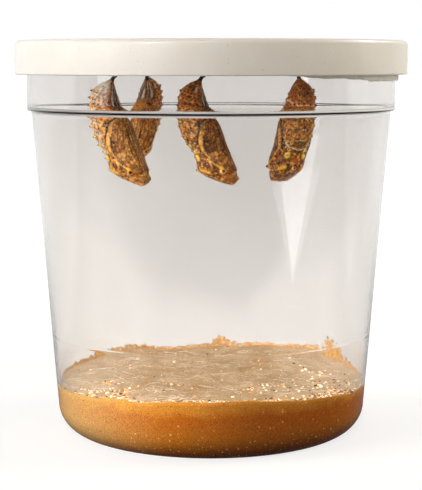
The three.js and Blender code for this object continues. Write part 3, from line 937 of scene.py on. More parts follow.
def crumb_amount(x, y):
    out = np.hypot(x, y) / float(inner_radius(FOOD_Z))
    heading = round_heading(x, y)
    front = soft_step(30, 0, np.abs(heading + 90) - 60)
    edge = 1.5 * soft_step(0.8, 0.97, out) ** 2 * front * (0.15 + 0.85 * soft_step(-29, -22, x))
    patchy = np.clip(0.4 + 0.9 * lumps(np.stack([x, y, x * 0], -1), 2.2, 31), 0, 1)
    amount = 0.006 + edge * (0.3 + 0.7 * patchy)
    for (heap_x, heap_y), reach, thickness in HEAPS:
        near = np.exp(-((x - heap_x) ** 2 + (y - heap_y) ** 2) / reach**2)
        amount += thickness * near * (0.3 + 0.7 * patchy)
    return amount


crumbs = top_patch("food_crumbs", crumb_amount)
run_tree(crumbs, SCATTER, Density=CRUMB_DENSITY, Seed=7, Smallest=0.12 * MM, Largest=0.52 * MM)
finish_piece(crumbs, sharp=20)

# %% [markdown]
# ## Silk on the food
# Caterpillars spin wherever they walk, and the open food is covered with fine pale threads in overlapping
# arcs. The tree bends one thread, sweeps a triangle along it, and lays it flat on scattered points, each
# with its own heading.


# %% Silk threads
def silk_finish():
    made, tree, shader = material("silk_thread")
    where = add(tree, "ShaderNodeTexCoord").outputs["Object"]
    tint = blend(tree, grain(tree, where, 0.6), colour(226, 212, 190), colour(255, 252, 246))
    plug(tree, shader, {"Base Color": tint, "Roughness": 0.35, "Sheen Weight": 0.4})
    return made


def thread_tree(finish):
    tree, inputs = new_tree("lay threads", {
        "Density": ("NodeSocketFloat", 1e5), "Seed": ("NodeSocketInt", 1),
        "Length": ("NodeSocketFloat", 4 * MM), "Thickness": ("NodeSocketFloat", 0.05 * MM)})
    spots = painted_points(tree, inputs)
    bend = {"Resolution": 7, "Start": (-0.5, 0, 0), "Middle": (0, 0.38, 0.02), "End": (0.5, 0.05, 0)}
    line = add(tree, "GeometryNodeCurveQuadraticBezier", bend).outputs[0]
    thin = calc(tree, "DIVIDE", inputs["Thickness"], inputs["Length"])
    section = add(tree, "GeometryNodeCurvePrimitiveCircle", {"Resolution": 3, "Radius": thin}).outputs[0]
    sockets = {"Curve": line, "Profile Curve": section, "Fill Caps": True}
    thread = add(tree, "GeometryNodeCurveToMesh", sockets).outputs[0]
    spin = random_value(tree, "FLOAT_VECTOR", (0, 0, 0), (0, 0, math.tau), 8)
    flat = add(tree, "FunctionNodeRotateRotation", {"Rotation": spots["Rotation"]}, rotation_space="LOCAL")
    plug(tree, flat, {"Rotate By": spin})
    length = calc(tree, "MULTIPLY", inputs["Length"], random_value(tree, "FLOAT", 0.4, 1.0, 9))
    sockets = {"Points": spots["Points"], "Instance": thread, "Rotation": flat.outputs[0], "Scale": length}
    placed = add(tree, "GeometryNodeInstanceOnPoints", sockets).outputs[0]
    end_tree(tree, placed, finish)
    return tree


def silk_amount(x, y):
    patchy = np.clip(0.3 + 1.1 * lumps(np.stack([x, y, x * 0], -1), 6.0, 41), 0, 1)
    away = soft_step(1.0, 0.85, np.hypot(x, y) / float(inner_radius(FOOD_Z)))
    return away * (0.2 + 0.4 * patchy + 1.4 * patchy * soft_step(0, -12, x))


SILK_DENSITY = 3.6e5  # threads on a square metre where the painted amount is 1
SILK = silk_finish()
THREADS = thread_tree(SILK)
webbing = top_patch("silk_webbing", silk_amount)
run_tree(webbing, THREADS, Density=SILK_DENSITY, Seed=3, Length=4.6 * MM, Thickness=0.024 * MM)
finish_piece(webbing)

# %% [markdown]
# ## The shape of a chrysalis
# A chrysalis is lofted: a line for the back, a line for the belly and a breadth at each station, joined by
# smooth curves. A place on the shell is given by how far along the body it lies, from the tip (0) to the
# head (1), and how far it turns from the middle of the back, in degrees. All that follows, relief and
# colour, is laid out in those two numbers, so it fits every one of the four.

# %% Loft
# Along and off the straight line from tip to head for the back, the same for the belly, and half the
# breadth, in mm.
STATIONS = np.array([
    (-0.1, -0.2, 0.05, 0.2, 0.3), (0.0, -1.0, 0.8, 0.1, 0.9), (0.1, -2.1, 1.75, 0.05, 1.5),
    (0.4, -3.2, 2.75, 0.0, 2.05), (1.05, -4.35, 3.85, 0.0, 2.5), (2.25, -5.2, 5.15, 0.05, 2.9),
    (3.65, -5.85, 6.7, 0.3, 3.1), (5.1, -6.35, 8.3, 0.75, 3.3), (6.6, -6.65, 10.0, 1.05, 3.4),
    (8.45, -6.8, 11.8, 1.15, 3.4), (10.4, -6.6, 13.5, 1.2, 3.4), (12.1, -6.1, 15.0, 1.3, 3.35),
    (13.6, -5.55, 16.4, 1.45, 3.35), (15.05, -5.5, 17.6, 1.55, 3.5), (16.4, -5.7, 18.7, 1.65, 3.55),
    (17.55, -5.6, 19.6, 1.7, 3.3), (18.95, -4.7, 20.4, 1.7, 2.85), (20.4, -3.05, 21.1, 1.65, 2.5),
    (21.55, -1.5, 21.7, 1.5, 2.15), (22.25, -0.35, 22.1, 1.15, 1.75), (22.45, 0.35, 22.3, 0.75, 1.1),
])
ALONG_STEPS = 230
ROUND_STEPS = 176


def through(values, share):
    """A smooth curve through evenly counted values, at shares from 0 to 1."""
    values = np.asarray(values, float)
    last = len(values) - 1
    place = np.clip(np.asarray(share, float), 0, 1) * last
    low = np.minimum(place.astype(int), last - 1)
    part = place - low
    before = np.where(low > 0, values[np.maximum(low - 1, 0)], 2 * values[0] - values[1])
    beyond = np.where(low + 2 <= last, values[np.minimum(low + 2, last)], 2 * values[-1] - values[-2])
    first, second = values[low], values[low + 1]
    slope_in, slope_out = (second - before) / 2, (beyond - first) / 2
    rise = second - first
    bend = 3 * rise - 2 * slope_in - slope_out
    return first + part * (slope_in + part * (bend + part * (slope_in + slope_out - 2 * rise)))


def loft(along):
    """Middle, half depth, direction to the back (x and z) and half breadth at places along the body."""
    back = np.stack([through(STATIONS[:, 1], along), -through(STATIONS[:, 0], along)], -1)
    belly = np.stack([through(STATIONS[:, 3], along), -through(STATIONS[:, 2], along)], -1)
    depth = np.linalg.norm(back - belly, axis=-1) / 2
    return (
        (back + belly) / 2, depth, (back - belly) / (2 * depth[..., None]), through(STATIONS[:, 4], along)
    )


def shell(along, turn, height=0.0):
    """Points of the shell and the way it faces, with height added to the smooth body."""
    middle, depth, to_back, breadth = loft(along)
    angle = np.radians(turn)
    up_back, sideways = np.cos(angle), np.sin(angle)
    point = np.stack([
        middle[..., 0] + to_back[..., 0] * depth * up_back, breadth * sideways,
        middle[..., 1] + to_back[..., 1] * depth * up_back], -1)
    facing = np.stack(
        [to_back[..., 0] * up_back / depth, sideways / breadth, to_back[..., 1] * up_back / depth], -1
    )
    facing /= np.linalg.norm(facing, axis=-1, keepdims=True)
    return point + facing * np.asarray(height)[..., None], facing


print("a chrysalis is lofted through", len(STATIONS), "stations")

# %% [markdown]
# ## The shell laid flat
# Places along and round the body are no lengths: one degree is broad where the body is thick and narrow at
# the tip. A rule along the middle of the body gives its length and its girth at each place, and with them
# the shell can be laid flat, as a map shows a globe, and measured in millimetres.

# %% Unrolled shell
RULE = np.linspace(0, 1, 401)
rule_middle, rule_depth, _, rule_breadth = loft(RULE)
RULE_LENGTH = np.concatenate([[0], np.cumsum(np.linalg.norm(np.diff(rule_middle, axis=0), axis=1))])
RULE_GIRTH = np.sqrt((rule_depth**2 + rule_breadth**2) / 2)


def unrolled(along, turn):
    """The shell laid flat: mm along the body, and mm round it from the back, both sides alike."""
    girth = np.interp(along, RULE, RULE_GIRTH)
    return np.stack([np.interp(along, RULE, RULE_LENGTH), np.radians(np.abs(turn)) * girth], -1)


print("a chrysalis measures", round(float(RULE_LENGTH[-1]), 1), "mm along its middle")

# %% [markdown]
# ## Marks on the shell
# Spots and lines are measured on the unrolled shell, in millimetres, so a spot stays round where the body
# is thin. The places are those of the painted lady: rows of warts on every ring, a wing case with a dark
# seam, a pale margin, a crease and raised veins, metallic spots along the back, each in a dark rim, and
# legs and feelers pressed along the belly with a dark furrow between them.


# %% Marks
def spot(flat, place, reach, soft=0.35):
    """1 inside a round mark at (along, turn), falling to 0 past its reach in mm."""
    apart = np.linalg.norm(flat - unrolled(*place), axis=-1)
    return 1 - soft_step(reach * (1 - soft), reach * (1 + soft), apart)


def line(flat, places, breadth, soft=0.4):
    """1 on a line through (along, turn) places, falling to 0 past half its breadth in mm."""
    corners = [unrolled(*place) for place in places]
    nearest = np.full(flat.shape[:-1], 1e9)
    for start, stop in zip(corners[:-1], corners[1:]):
        run = stop - start
        share = np.clip(((flat - start) @ run) / (run @ run), 0, 1)
        nearest = np.minimum(nearest, np.linalg.norm(flat - start - share[..., None] * run, axis=-1))
    return 1 - soft_step(breadth / 2 * (1 - soft), breadth / 2 * (1 + soft), nearest)


RING_MIDDLES = np.array([0.2, 0.25, 0.305, 0.365, 0.43, 0.487, 0.54, 0.593, 0.64])
RING_BORDERS = (RING_MIDDLES[1:] + RING_MIDDLES[:-1]) / 2
WING_MARGIN = np.array([
    (0.31, 170), (0.34, 125), (0.385, 98), (0.44, 85), (0.48, 74), (0.533, 64), (0.588, 57), (0.63, 72),
    (0.7, 92), (0.76, 112),
])
CREASE = [(0.47, 92), (0.51, 86), (0.56, 78), (0.6, 76), (0.65, 92), (0.7, 104)]
MARGIN = [(0.45, 91), (0.49, 81), (0.54, 72), (0.588, 68), (0.64, 84), (0.7, 98), (0.75, 112)]
WING_VEINS = [0.16, 0.31, 0.46, 0.6, 0.74, 0.87]
FEELERS = [152, 163, 173]
FURROWS = [146, 157.5, 168]
GOLD_SPOTS = [(0.425, 30, 0.3), (0.487, 30, 0.36), (0.545, 29, 0.4), (0.6, 28, 0.34), (0.64, 31, 0.62)]
SMALL_SPOTS = [(0.458, 4, 0.2), (0.521, 4, 0.2), (0.458, 60, 0.2), (0.521, 56, 0.2), (0.575, 45, 0.22)]
BLACK_DOTS = [(0.504, 94, 0.26), (0.721, 97, 0.34), (0.53, 118, 0.16), (0.6, 125, 0.16)]
DOT_TURNS = [14, 47, 63, 80, 97, 116]


def wing_start(along):
    """Turn at which the wing case begins, past the belly where there is none."""
    start = np.interp(along, WING_MARGIN[:, 0], WING_MARGIN[:, 1])
    return np.where((along < WING_MARGIN[0, 0]) | (along > WING_MARGIN[-1, 0]), 200.0, start)


def wing_share(along, turn):
    """0 at the wing's upper margin and 1 at the middle of the belly: a vein is a line of equal share."""
    start = np.minimum(wing_start(along), 172.0)
    return np.clip((np.abs(turn) - start) / (180 - start), 0, 1)


# One place on the shell, along and turn, to try the helpers on.
SAMPLE = (np.array([[0.5]]), np.array([[30.0]]))
print("gold spots in", len(GOLD_SPOTS), "pairs")

# %% [markdown]
# ## All the marks at once
# One helper works out every mark, as a share from 0 to 1 for each place of the shell. The relief and the
# paint both read these shares. That keeps a dark line in its groove, and each mark is drawn only once.


# %% All the marks
def marks(along, turn):
    """Every mark as a share from 0 to 1 for each place of the shell."""
    flat = unrolled(along, turn)
    local = np.stack([flat[..., 0], flat[..., 1] * np.sign(turn + 1e-9), flat[..., 0] * 0], -1)
    made = {}
    made["wing"] = soft_step(-5, 4, np.abs(turn) - wing_start(along)) * soft_step(0.785, 0.75, along)
    share = wing_share(along, turn) + 0.012 * lumps(local, 1.7, 51)
    vein = [soft_step(0.022, 0.006, np.abs(share - place)) for place in WING_VEINS]
    made["vein"] = np.max(vein, axis=0) * made["wing"] * soft_step(0.33, 0.4, along)
    made["streak"] = made["wing"] * lumps(
        np.stack([share * 24, flat[..., 0] * 0.35, share * 0], -1), 1.0, 52
    )
    made["seam"] = line(flat, [(0.31, 150), *WING_MARGIN[1:7].tolist()], 0.36)
    made["crease"] = line(flat, CREASE, 0.3)
    made["margin"] = line(flat, MARGIN, 0.7)
    bare = 1 - made["wing"]
    near = np.min(np.abs(along[..., None] - RING_BORDERS), axis=-1)
    made["groove"] = soft_step(0.012, 0.002, near) * bare
    made["gold"] = np.max([spot(flat, (a, t), r) for a, t, r in GOLD_SPOTS], axis=0)
    made["gold"] = np.maximum(made["gold"], 0.75 * line(flat, [(0.742, 34), (0.765, 54)], 0.8, 0.7))
    made["gold"] = np.maximum(made["gold"], 0.8 * spot(flat, (0.716, 104), 0.42))
    made["rim"] = np.max([spot(flat, (a, t), 1.7 * r) for a, t, r in [*GOLD_SPOTS, *SMALL_SPOTS]], axis=0)
    made["core"] = np.max([spot(flat, (a, t), 0.45 * r) for a, t, r in GOLD_SPOTS], axis=0)
    made["glint"] = np.max([spot(flat, (a, t), r) for a, t, r in SMALL_SPOTS], axis=0)
    made["black"] = np.max([spot(flat, (a, t), r) for a, t, r in BLACK_DOTS], axis=0)
    made["black"] = np.maximum(made["black"], line(flat, [(0.64, 82), (0.655, 86), (0.672, 92)], 0.34))
    rows = [(a, t) for a in RING_MIDDLES[:6] for t in DOT_TURNS if t < wing_start(np.array(a)) - 8]
    made["dot"] = np.max([spot(flat, place, 0.24) for place in rows], axis=0)
    made["halo"] = np.max([spot(flat, place, 0.46) for place in rows], axis=0)
    band = soft_step(0.02, 0.004, np.min(np.abs(along[..., None] - RING_MIDDLES[:4]), axis=-1))
    made["band"] = band * bare * soft_step(0.36, 0.33, along) * soft_step(130, 100, np.abs(turn))
    arc_high = line(flat, [(0.26, 94), (0.29, 60), (0.317, 32), (0.312, 0)], 0.32)
    arc_low = line(flat, [(0.54, 51), (0.58, 30), (0.596, 0)], 0.28)
    made["arc"] = np.maximum(arc_high, arc_low)
    made["slit"] = line(flat, [(0.13, 100), (0.215, 101)], 0.3)
    feeler = [soft_step(2.6, 0.8, np.abs(np.abs(turn) - place)) for place in FEELERS]
    furrow = [soft_step(2.4, 0.8, np.abs(np.abs(turn) - place)) for place in FURROWS]
    belly = soft_step(0.34, 0.4, along) * soft_step(0.95, 0.9, along)
    made["feeler"] = np.max(feeler, axis=0) * belly
    made["furrow"] = np.max(furrow, axis=0) * belly
    eye = np.linalg.norm(flat - unrolled(0.845, 128), axis=-1)
    made["eye"] = soft_step(1.5, 1.3, eye)
    made["eye_rings"] = made["eye"] * (0.5 + 0.5 * np.cos(eye * 2 * math.pi / 0.6))
    made["ripple"] = np.sin(along * 2 * math.pi / 0.02 + 3.0 * lumps(local, 2.0, 53)) * bare
    return made


print("marks:", *marks(*SAMPLE))

# %% [markdown]
# ## Relief
# The marks could be a bump in the material, but margins, dots and spots show against the light at the body's
# edge. So they are real heights, added along the way that the shell faces, with two sizes of fine unevenness
# over them.


# %% Relief
def relief(along, turn, made):
    """Height of the carved detail over the smooth body, in mm."""
    point, _ = shell(along, turn)
    height = 0.25 * made["wing"] + 0.07 * made["vein"] + 0.035 * made["streak"] + 0.12 * made["margin"]
    height -= 0.1 * made["groove"] + 0.2 * made["seam"] + 0.12 * made["slit"] + 0.1 * made["black"]
    height += 0.1 * made["dot"] + 0.14 * made["gold"] + 0.1 * made["glint"] + 0.09 * made["feeler"]
    height -= 0.08 * made["furrow"]
    height += (
        0.16 * made["eye"] + 0.06 * made["eye_rings"] + 0.04 * made["ripple"] * soft_step(0.3, 0.42, along)
    )
    swell = np.cos((along[..., None] - RING_MIDDLES) / 0.055 * math.pi / 2).clip(0, 1).max(axis=-1)
    height += 0.1 * swell * (1 - made["wing"]) * soft_step(0.68, 0.6, along) * soft_step(0.15, 0.2, along)
    return height + 0.05 * lumps(point, 0.8, 54) + 0.025 * lumps(point, 0.35, 55)


print("relief at the sample:", round(float(relief(*SAMPLE, marks(*SAMPLE)).max()), 2), "mm")

# %% [markdown]
# ## Colours of the shell
# The tones are painted on the points of the mesh, from the same marks as the relief, so each dark line lies
# in its groove. A palette says how warm and how bright a chrysalis is, because the four differ: age turns the
# shell from grey-brown to orange, and part of the difference is painted light. The glow paints the orange
# light that shines through the thin upper back. The cream patch on the back of the first is partly its pale
# skin and partly painted light from the lamp at the left. The second, which hangs behind the others and gets
# less light, has a lighter palette as painted light.


# %% Palettes
def tone(*screen):
    return np.array(colour(*screen)[:3])


PALETTES = [
    {
        "shell": tone(186, 122, 52), "wing": tone(166, 100, 36), "pale": tone(252, 198, 106),
        "cream": 0.9, "glow": 0.0, "arc": 0.0, "core": tone(255, 236, 170),
    },
    # Lighter as painted light: the second hangs behind the others and gets less light.
    {
        "shell": tone(228, 152, 84), "wing": tone(226, 136, 34), "pale": tone(246, 200, 124),
        "cream": 0.0, "glow": 0.1, "arc": 0.0, "core": tone(255, 236, 170),
    },
    {
        "shell": tone(142, 76, 18), "wing": tone(124, 62, 12), "pale": tone(244, 176, 82),
        "cream": 0.0, "glow": 0.0, "arc": 0.0, "core": tone(255, 236, 170),
    },
    {
        "shell": tone(162, 80, 8), "wing": tone(152, 80, 14), "pale": tone(242, 172, 70),
        "cream": 0.0, "glow": 0.8, "arc": 0.8, "core": tone(70, 34, 8),
    },
]
DARK = tone(12, 5, 2)
BROWN = tone(56, 26, 3)
ORANGE = tone(236, 124, 20)
GOLD = tone(255, 204, 56)
CREAM = tone(250, 232, 200)


print("palettes for", len(PALETTES), "chrysalises")

# %% [markdown]
# ## Painting the shell
# The paint is laid on in thin coats, from the ground tone to the gold. Each coat covers the one below it by
# the share of its mark, broken up by noise, because no edge on a living shell is ruled. What comes out is one
# colour for each point of the mesh.


# %% Paint
def over(base, share, paint):
    share = np.clip(share, 0, 1)[..., None]
    return base * (1 - share) + np.asarray(paint) * share


def paint_shell(along, turn, made, look):
    point, _ = shell(along, turn)
    side = np.abs(turn)
    coarse, fine = lumps(point, 1.3, 61), lumps(point, 0.42, 62)
    flank = soft_step(0.32, 0.38, along) * soft_step(0.62, 0.56, along) * (1 - made["wing"])
    skin = over(look["shell"][None, None], made["wing"], look["wing"])
    skin = over(skin, 0.35 * flank, tone(176, 130, 74))
    skin = over(skin, 0.75 * np.clip(fine * 1.9 - 0.1, 0, 1), BROWN)
    skin = over(skin, 0.5 * np.clip(coarse * 1.5 - 0.1, 0, 1), BROWN)
    skin = over(skin, 0.5 * np.clip(-fine * 2.0 - 0.3, 0, 1), look["pale"])
    skin = over(skin, 0.65 * (1 - made["wing"]) * np.clip(fine * 2.6 - 0.5, 0, 1), DARK)
    skin = over(skin, 0.55 * (1 - made["wing"]) * np.clip(-fine * 2.6 - 0.6, 0, 1), tone(252, 192, 98))
    skin = over(skin, 0.5 * np.clip(-coarse - 0.25, 0, 1), ORANGE)
    skin = over(
        skin, 0.22 * flank * np.clip(made["ripple"], 0, 1) * np.clip(0.5 + coarse, 0, 1), look["pale"]
    )
    skin = over(skin, 0.45 * np.clip(made["streak"], 0, 1), BROWN)
    skin = over(skin, 0.4 * np.clip(-made["streak"] - 0.2, 0, 1), look["pale"])
    skin = over(skin, 0.55 * made["band"] * np.clip(0.6 + lumps(point, 0.7, 63), 0, 1), ORANGE)
    # Painted light: the orange glow of light shining through the upper back.
    glow = (
        look["glow"] * soft_step(70, 30, side) * soft_step(0.06, 0.12, along) * soft_step(0.42, 0.3, along)
    )
    skin = over(skin, 0.7 * glow * np.clip(0.6 + fine, 0, 1), tone(222, 126, 34))
    skin = over(skin, 0.8 * glow * spot(unrolled(along, turn), (0.225, 3), 1.5, 0.7), tone(70, 34, 14))
    # Cream on the back: partly the shell's pale skin, partly painted light from the lamp at the left.
    lit_cream_patch = (
        soft_step(104, 84, side + 16 * coarse) * soft_step(0.03, 0.08, along)
        * soft_step(0.33, 0.22, along)
    )
    lit_cream_patch = look["cream"] * np.maximum(
        lit_cream_patch, 0.45 * soft_step(80, 50, side) * soft_step(0.62, 0.5, along)
    )
    skin = over(skin, 0.97 * lit_cream_patch * np.clip(0.95 - 0.8 * fine, 0, 1), tone(255, 238, 208))
    lower = soft_step(0.16, 0.2, along) * soft_step(0.34, 0.3, along) * soft_step(95, 120, side)
    skin = over(skin, 0.45 * lower, BROWN)
    # Painted highlights: pale streaks with brown between them, on the belly side near the tip.
    highlight_streak_zone = soft_step(118, 135, side) * soft_step(0.06, 0.1, along) * soft_step(0.3, 0.25, along)
    highlight_streaks = np.clip(lumps(np.stack([side / 7, along * 9, along * 0], -1), 1.0, 64) * 2 - 0.2, 0, 1)
    skin = over(skin, 0.6 * highlight_streak_zone * (1 - highlight_streaks), BROWN)
    skin = over(skin, 0.85 * highlight_streak_zone * highlight_streaks, tone(222, 220, 226))
    skin = over(skin, 0.7 * made["vein"], BROWN)
    skin = over(skin, made["margin"] * np.clip(0.9 - 0.8 * fine, 0, 1), tone(234, 168, 80))
    skin = over(skin, 0.8 * made["crease"], DARK)
    skin = over(skin, 0.3 * made["groove"] * np.clip(0.6 + fine, 0, 1), DARK)
    skin = over(skin, look["arc"] * made["arc"], CREAM)
    skin = over(skin, 0.95 * made["seam"], DARK)
    skin = over(skin, 0.8 * made["slit"], tone(236, 228, 214))
    skin = over(skin, 0.6 * made["feeler"] * np.clip(0.5 + lumps(point, 0.9, 65), 0, 1), tone(198, 150, 92))
    skin = over(skin, 0.8 * made["furrow"], DARK)
    skin = over(skin, 0.6 * made["eye_rings"], tone(172, 122, 66))
    skin = over(skin, 0.6 * made["halo"] * (1 - 0.8 * lit_cream_patch), ORANGE)
    skin = over(skin, 0.95 * made["dot"] * (1 - 0.6 * lit_cream_patch), DARK)
    skin = over(skin, 0.95 * made["black"], DARK)
    skin = over(skin, 0.75 * made["rim"], DARK)
    skin = over(skin, 0.8 * made["glint"], CREAM)
    skin = over(skin, made["gold"], GOLD)
    # The core of a gold spot: a painted highlight in the first three palettes, the dark tip of the wart in
    # the fourth.
    skin = over(skin, 0.9 * made["core"], look["core"])
    tip = soft_step(0.035, 0.0, along)
    return over(skin, 0.9 * tip, DARK)


print("paint at the sample:", paint_shell(*SAMPLE, marks(*SAMPLE), PALETTES[0]).round(2).ravel())

# %% [markdown]
# ## The shell's finish
# The painted tones are the base. On top of them come speckles finer than the mesh, in the shell's own
# coordinates, so they turn with the body. They are sparing where the paint is pale, which keeps the creamy
# parts clean. Then come a fine bump, a satin gloss that is broken up by the speckle, and a little metal in
# the gold spots, which on the living animal are a mirror layer under the skin.


# %% Shell finish
def shell_finish():
    made, tree, shader = material("chrysalis_shell")
    paint = add(tree, "ShaderNodeAttribute", attribute_name="paint").outputs["Color"]
    gold = add(tree, "ShaderNodeAttribute", attribute_name="gold").outputs["Fac"]
    place = add(tree, "ShaderNodeAttribute", attribute_name="place").outputs["Vector"]
    speckle = grain(tree, place, 0.3, detail=2.0, roughness=0.6)
    freckle = grain(tree, place, 0.8, detail=4.0, roughness=0.65)
    dark = spread(tree, speckle, 0.5, 0.6, 0.0, 0.5)
    light = spread(tree, speckle, 0.46, 0.36, 0.0, 0.3)
    sparing = spread(tree, add(tree, "ShaderNodeRGBToBW", {"Color": paint}).outputs[0], 0.35, 0.7, 1.0, 0.2)
    dark = calc(tree, "MULTIPLY", dark, sparing)
    tint = blend(tree, dark, paint, (0.3, 0.18, 0.08, 1), "MULTIPLY")
    tint = blend(tree, light, tint, (0.82, 0.42, 0.09, 1))
    freckled = calc(tree, "MULTIPLY", sparing, spread(tree, freckle, 0.56, 0.68, 0.0, 0.45))
    tint = blend(tree, freckled, tint, colour(70, 32, 8))
    tint = blend(tree, gold, tint, paint)
    height = calc(tree, "ADD", speckle, freckle)
    bump = add(tree, "ShaderNodeBump", {"Strength": 0.45, "Distance": 0.12 * MM, "Height": height})
    rough = spread(tree, speckle, 0.3, 0.7, 0.3, 0.55)
    plug(
        tree, shader,
        {"Base Color": tint, "Metallic": calc(tree, "MULTIPLY", gold, 0.2), "Normal": bump.outputs[0]}
    )
    plug(
        tree, shader,
        {"Roughness": rough, "Coat Weight": 0.05, "Coat Roughness": 0.25, "Specular IOR Level": 0.25}
    )
    return made


SHELL = shell_finish()
print("shell finish ready")

# %% [markdown]
# ## Warts
# Each ring carries a row of pointed warts. They are one small cone, so a tree stands it on points that were
# computed on the shell, each turned the way that the shell faces. The cone carries a height of its own for
# its dark tip.

# %% Wart tree
WART_SIDES = 8


def wart_finish():
    made, tree, shader = material("wart")
    rise = add(tree, "ShaderNodeAttribute", attribute_name="rise").outputs["Fac"]
    bright = add(tree, "ShaderNodeAttribute", attribute_name="bright").outputs["Fac"]
    where = add(tree, "ShaderNodeTexCoord").outputs["Object"]
    plain = ramp(
        tree, rise, [(0.0, colour(196, 124, 52)), (0.45, colour(244, 176, 96)), (0.8, colour(40, 20, 10))]
    )
    golden = ramp(
        tree, rise, [(0.0, colour(255, 176, 50)), (0.6, colour(255, 220, 130)), (0.95, colour(90, 44, 16))]
    )
    tint = blend(tree, bright, plain, golden)
    bump = add(
        tree, "ShaderNodeBump", {"Strength": 0.3, "Distance": 0.05 * MM, "Height": grain(tree, where, 0.2)}
    )
    plug(
        tree, shader,
        {"Base Color": tint, "Metallic": calc(tree, "MULTIPLY", bright, 0.4), "Normal": bump.outputs[0]}
    )
    plug(tree, shader, {"Roughness": 0.35})
    return made


def wart_tree(finish):
    tree, inputs = new_tree("stand warts", {"Sharpness": ("NodeSocketFloat", 0.18)})
    sockets = {
        "Vertices": WART_SIDES, "Side Segments": 3, "Radius Top": inputs["Sharpness"], "Radius Bottom": 1.0
    }
    cone = add(tree, "GeometryNodeMeshCone", {**sockets, "Depth": 1.0}).outputs["Mesh"]
    cone_place = add(tree, "GeometryNodeInputPosition").outputs[0]
    height = add(tree, "ShaderNodeSeparateXYZ", {0: cone_place}).outputs["Z"]
    sockets = {"Geometry": cone, "Name": "rise", "Value": height}
    marked = add(tree, "GeometryNodeStoreNamedAttribute", sockets, domain="POINT").outputs[0]
    facing = add(
        tree, "GeometryNodeInputNamedAttribute", {"Name": "facing"}, data_type="FLOAT_VECTOR"
    ).outputs[0]
    size = add(
        tree, "GeometryNodeInputNamedAttribute", {"Name": "size"}, data_type="FLOAT_VECTOR"
    ).outputs[0]
    turn = add(tree, "FunctionNodeAlignRotationToVector", {"Vector": facing}, axis="Z").outputs[0]
    sockets = {"Points": inputs["Geometry"], "Instance": marked, "Rotation": turn, "Scale": size}
    placed = add(tree, "GeometryNodeInstanceOnPoints", sockets).outputs[0]
    end_tree(tree, placed, finish)
    return tree


WARTS = wart_tree(wart_finish())
print("a wart has", WART_SIDES, "sides")

# %% [markdown]
# ## Where the warts stand
# Rows of warts run along the back and the flanks, golden from the fifth ring on, with small ones between them
# on the rings near the tip. A few others stand at the shoulders and the head. They are listed by their place
# on the shell, both sides alike, so that each chrysalis can carry the same list.


# %% List of warts
def wart_list():
    """(along, turn, foot radius, height, how golden) of every wart."""
    made = []
    for along in RING_MIDDLES:
        golden = 1.0 if along > 0.4 else 0.0
        made += [(along, sign * 31, 0.46, 0.9, golden) for sign in (-1, 1)]
        if along < 0.6:
            made += [(along, sign * 60, 0.3, 0.5, golden) for sign in (-1, 1)]
            made.append((along, 0, 0.26, 0.46, 0.0))
    for along in RING_MIDDLES[:4]:
        turns = [turn for turn in DOT_TURNS if turn < wing_start(np.array(along)) - 10]
        made += [
            (along + 0.012 * math.sin(turn), sign * turn, 0.22, 0.42, 0.0) for turn in turns
            for sign in (-1, 1)
        ]
    made += [(0.75, sign * 106, 0.8, 1.05, 0.0) for sign in (-1, 1)]
    made += [(0.925, sign * 70, 0.4, 0.26, 0.0) for sign in (-1, 1)]
    made += [(0.74, sign * 40, 0.3, 0.34, 1.0) for sign in (-1, 1)]
    return made + [(0.745, 0, 0.6, 0.62, 0.0)]


print("each chrysalis carries", len(wart_list()), "warts")

# %% [markdown]
# ## Hanging them up
# Each chrysalis hooks into its button of silk with the tip of its abdomen, and leans as it hangs. The
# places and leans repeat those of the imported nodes. The belly's heading says which side of the animal the
# viewer sees.

# %% Hanging places
# Tip x, y and z, lean, heading it leans to, heading of its belly, and size; millimetres and degrees.
HANGING = [
    (-20.3, -15.0, 76.55, 16.3, 0, -12, 1.01), (-14.1, 8.0, 76.85, 16.0, 225, 236, 0.85),
    (-2.25, -17.0, 76.55, 16.8, 2, 2, 1.0), (18.2, -13.0, 76.7, 16.5, 127, 112, 1.0),
]


def spin(points, heading):
    angle = math.radians(heading)
    x, y, z = np.moveaxis(np.asarray(points), -1, 0)
    return np.stack(
        [x * math.cos(angle) - y * math.sin(angle), x * math.sin(angle) + y * math.cos(angle), z], -1
    )


def hung(points, place, is_direction=False):
    """Points, or directions, of a chrysalis's own frame in the cup's frame."""
    tip, (lean, towards, facing, size) = np.array(place[:3]), place[3:]
    turned_points = spin(points, facing - towards) * (1 if is_direction else size)
    angle = math.radians(lean)
    x, y, z = np.moveaxis(turned_points, -1, 0)
    leaning = np.stack(
        [x * math.cos(angle) - z * math.sin(angle), y, x * math.sin(angle) + z * math.cos(angle)], -1
    )
    return spin(leaning, towards) + (0 if is_direction else tip)


def rod(route, radii, sides):
    """A closed tapered rod along a route of points."""
    route = np.asarray(route, float)
    forward = np.gradient(route, axis=0)
    forward /= np.linalg.norm(forward, axis=1, keepdims=True)
    across = np.cross(forward, [0.31, 0.9, 0.3])
    across /= np.linalg.norm(across, axis=1, keepdims=True)
    upright = np.cross(forward, across)
    ring = np.linspace(0, math.tau, sides, endpoint=False)
    circle = across[:, None] * np.cos(ring)[None, :, None] + upright[:, None] * np.sin(ring)[None, :, None]
    points = route[:, None] + circle * np.asarray(radii)[:, None, None]
    faces = sheet_faces(len(route), sides).tolist()
    faces += [tuple(range(sides))[::-1], tuple(range((len(route) - 1) * sides, len(route) * sides))]
    return points.reshape(-1, 3), faces


print("tips hang at", [place[2] for place in HANGING], "mm")

# %% [markdown]
# ## Building the four
# A grid of places along and round the body is lofted, raised by the relief, closed at both ends and hung in
# its place. Its paint and its gold are stored on the same points. The shell's own coordinates are stored
# too, shifted from one animal to the next, so that no two carry the same speckle.


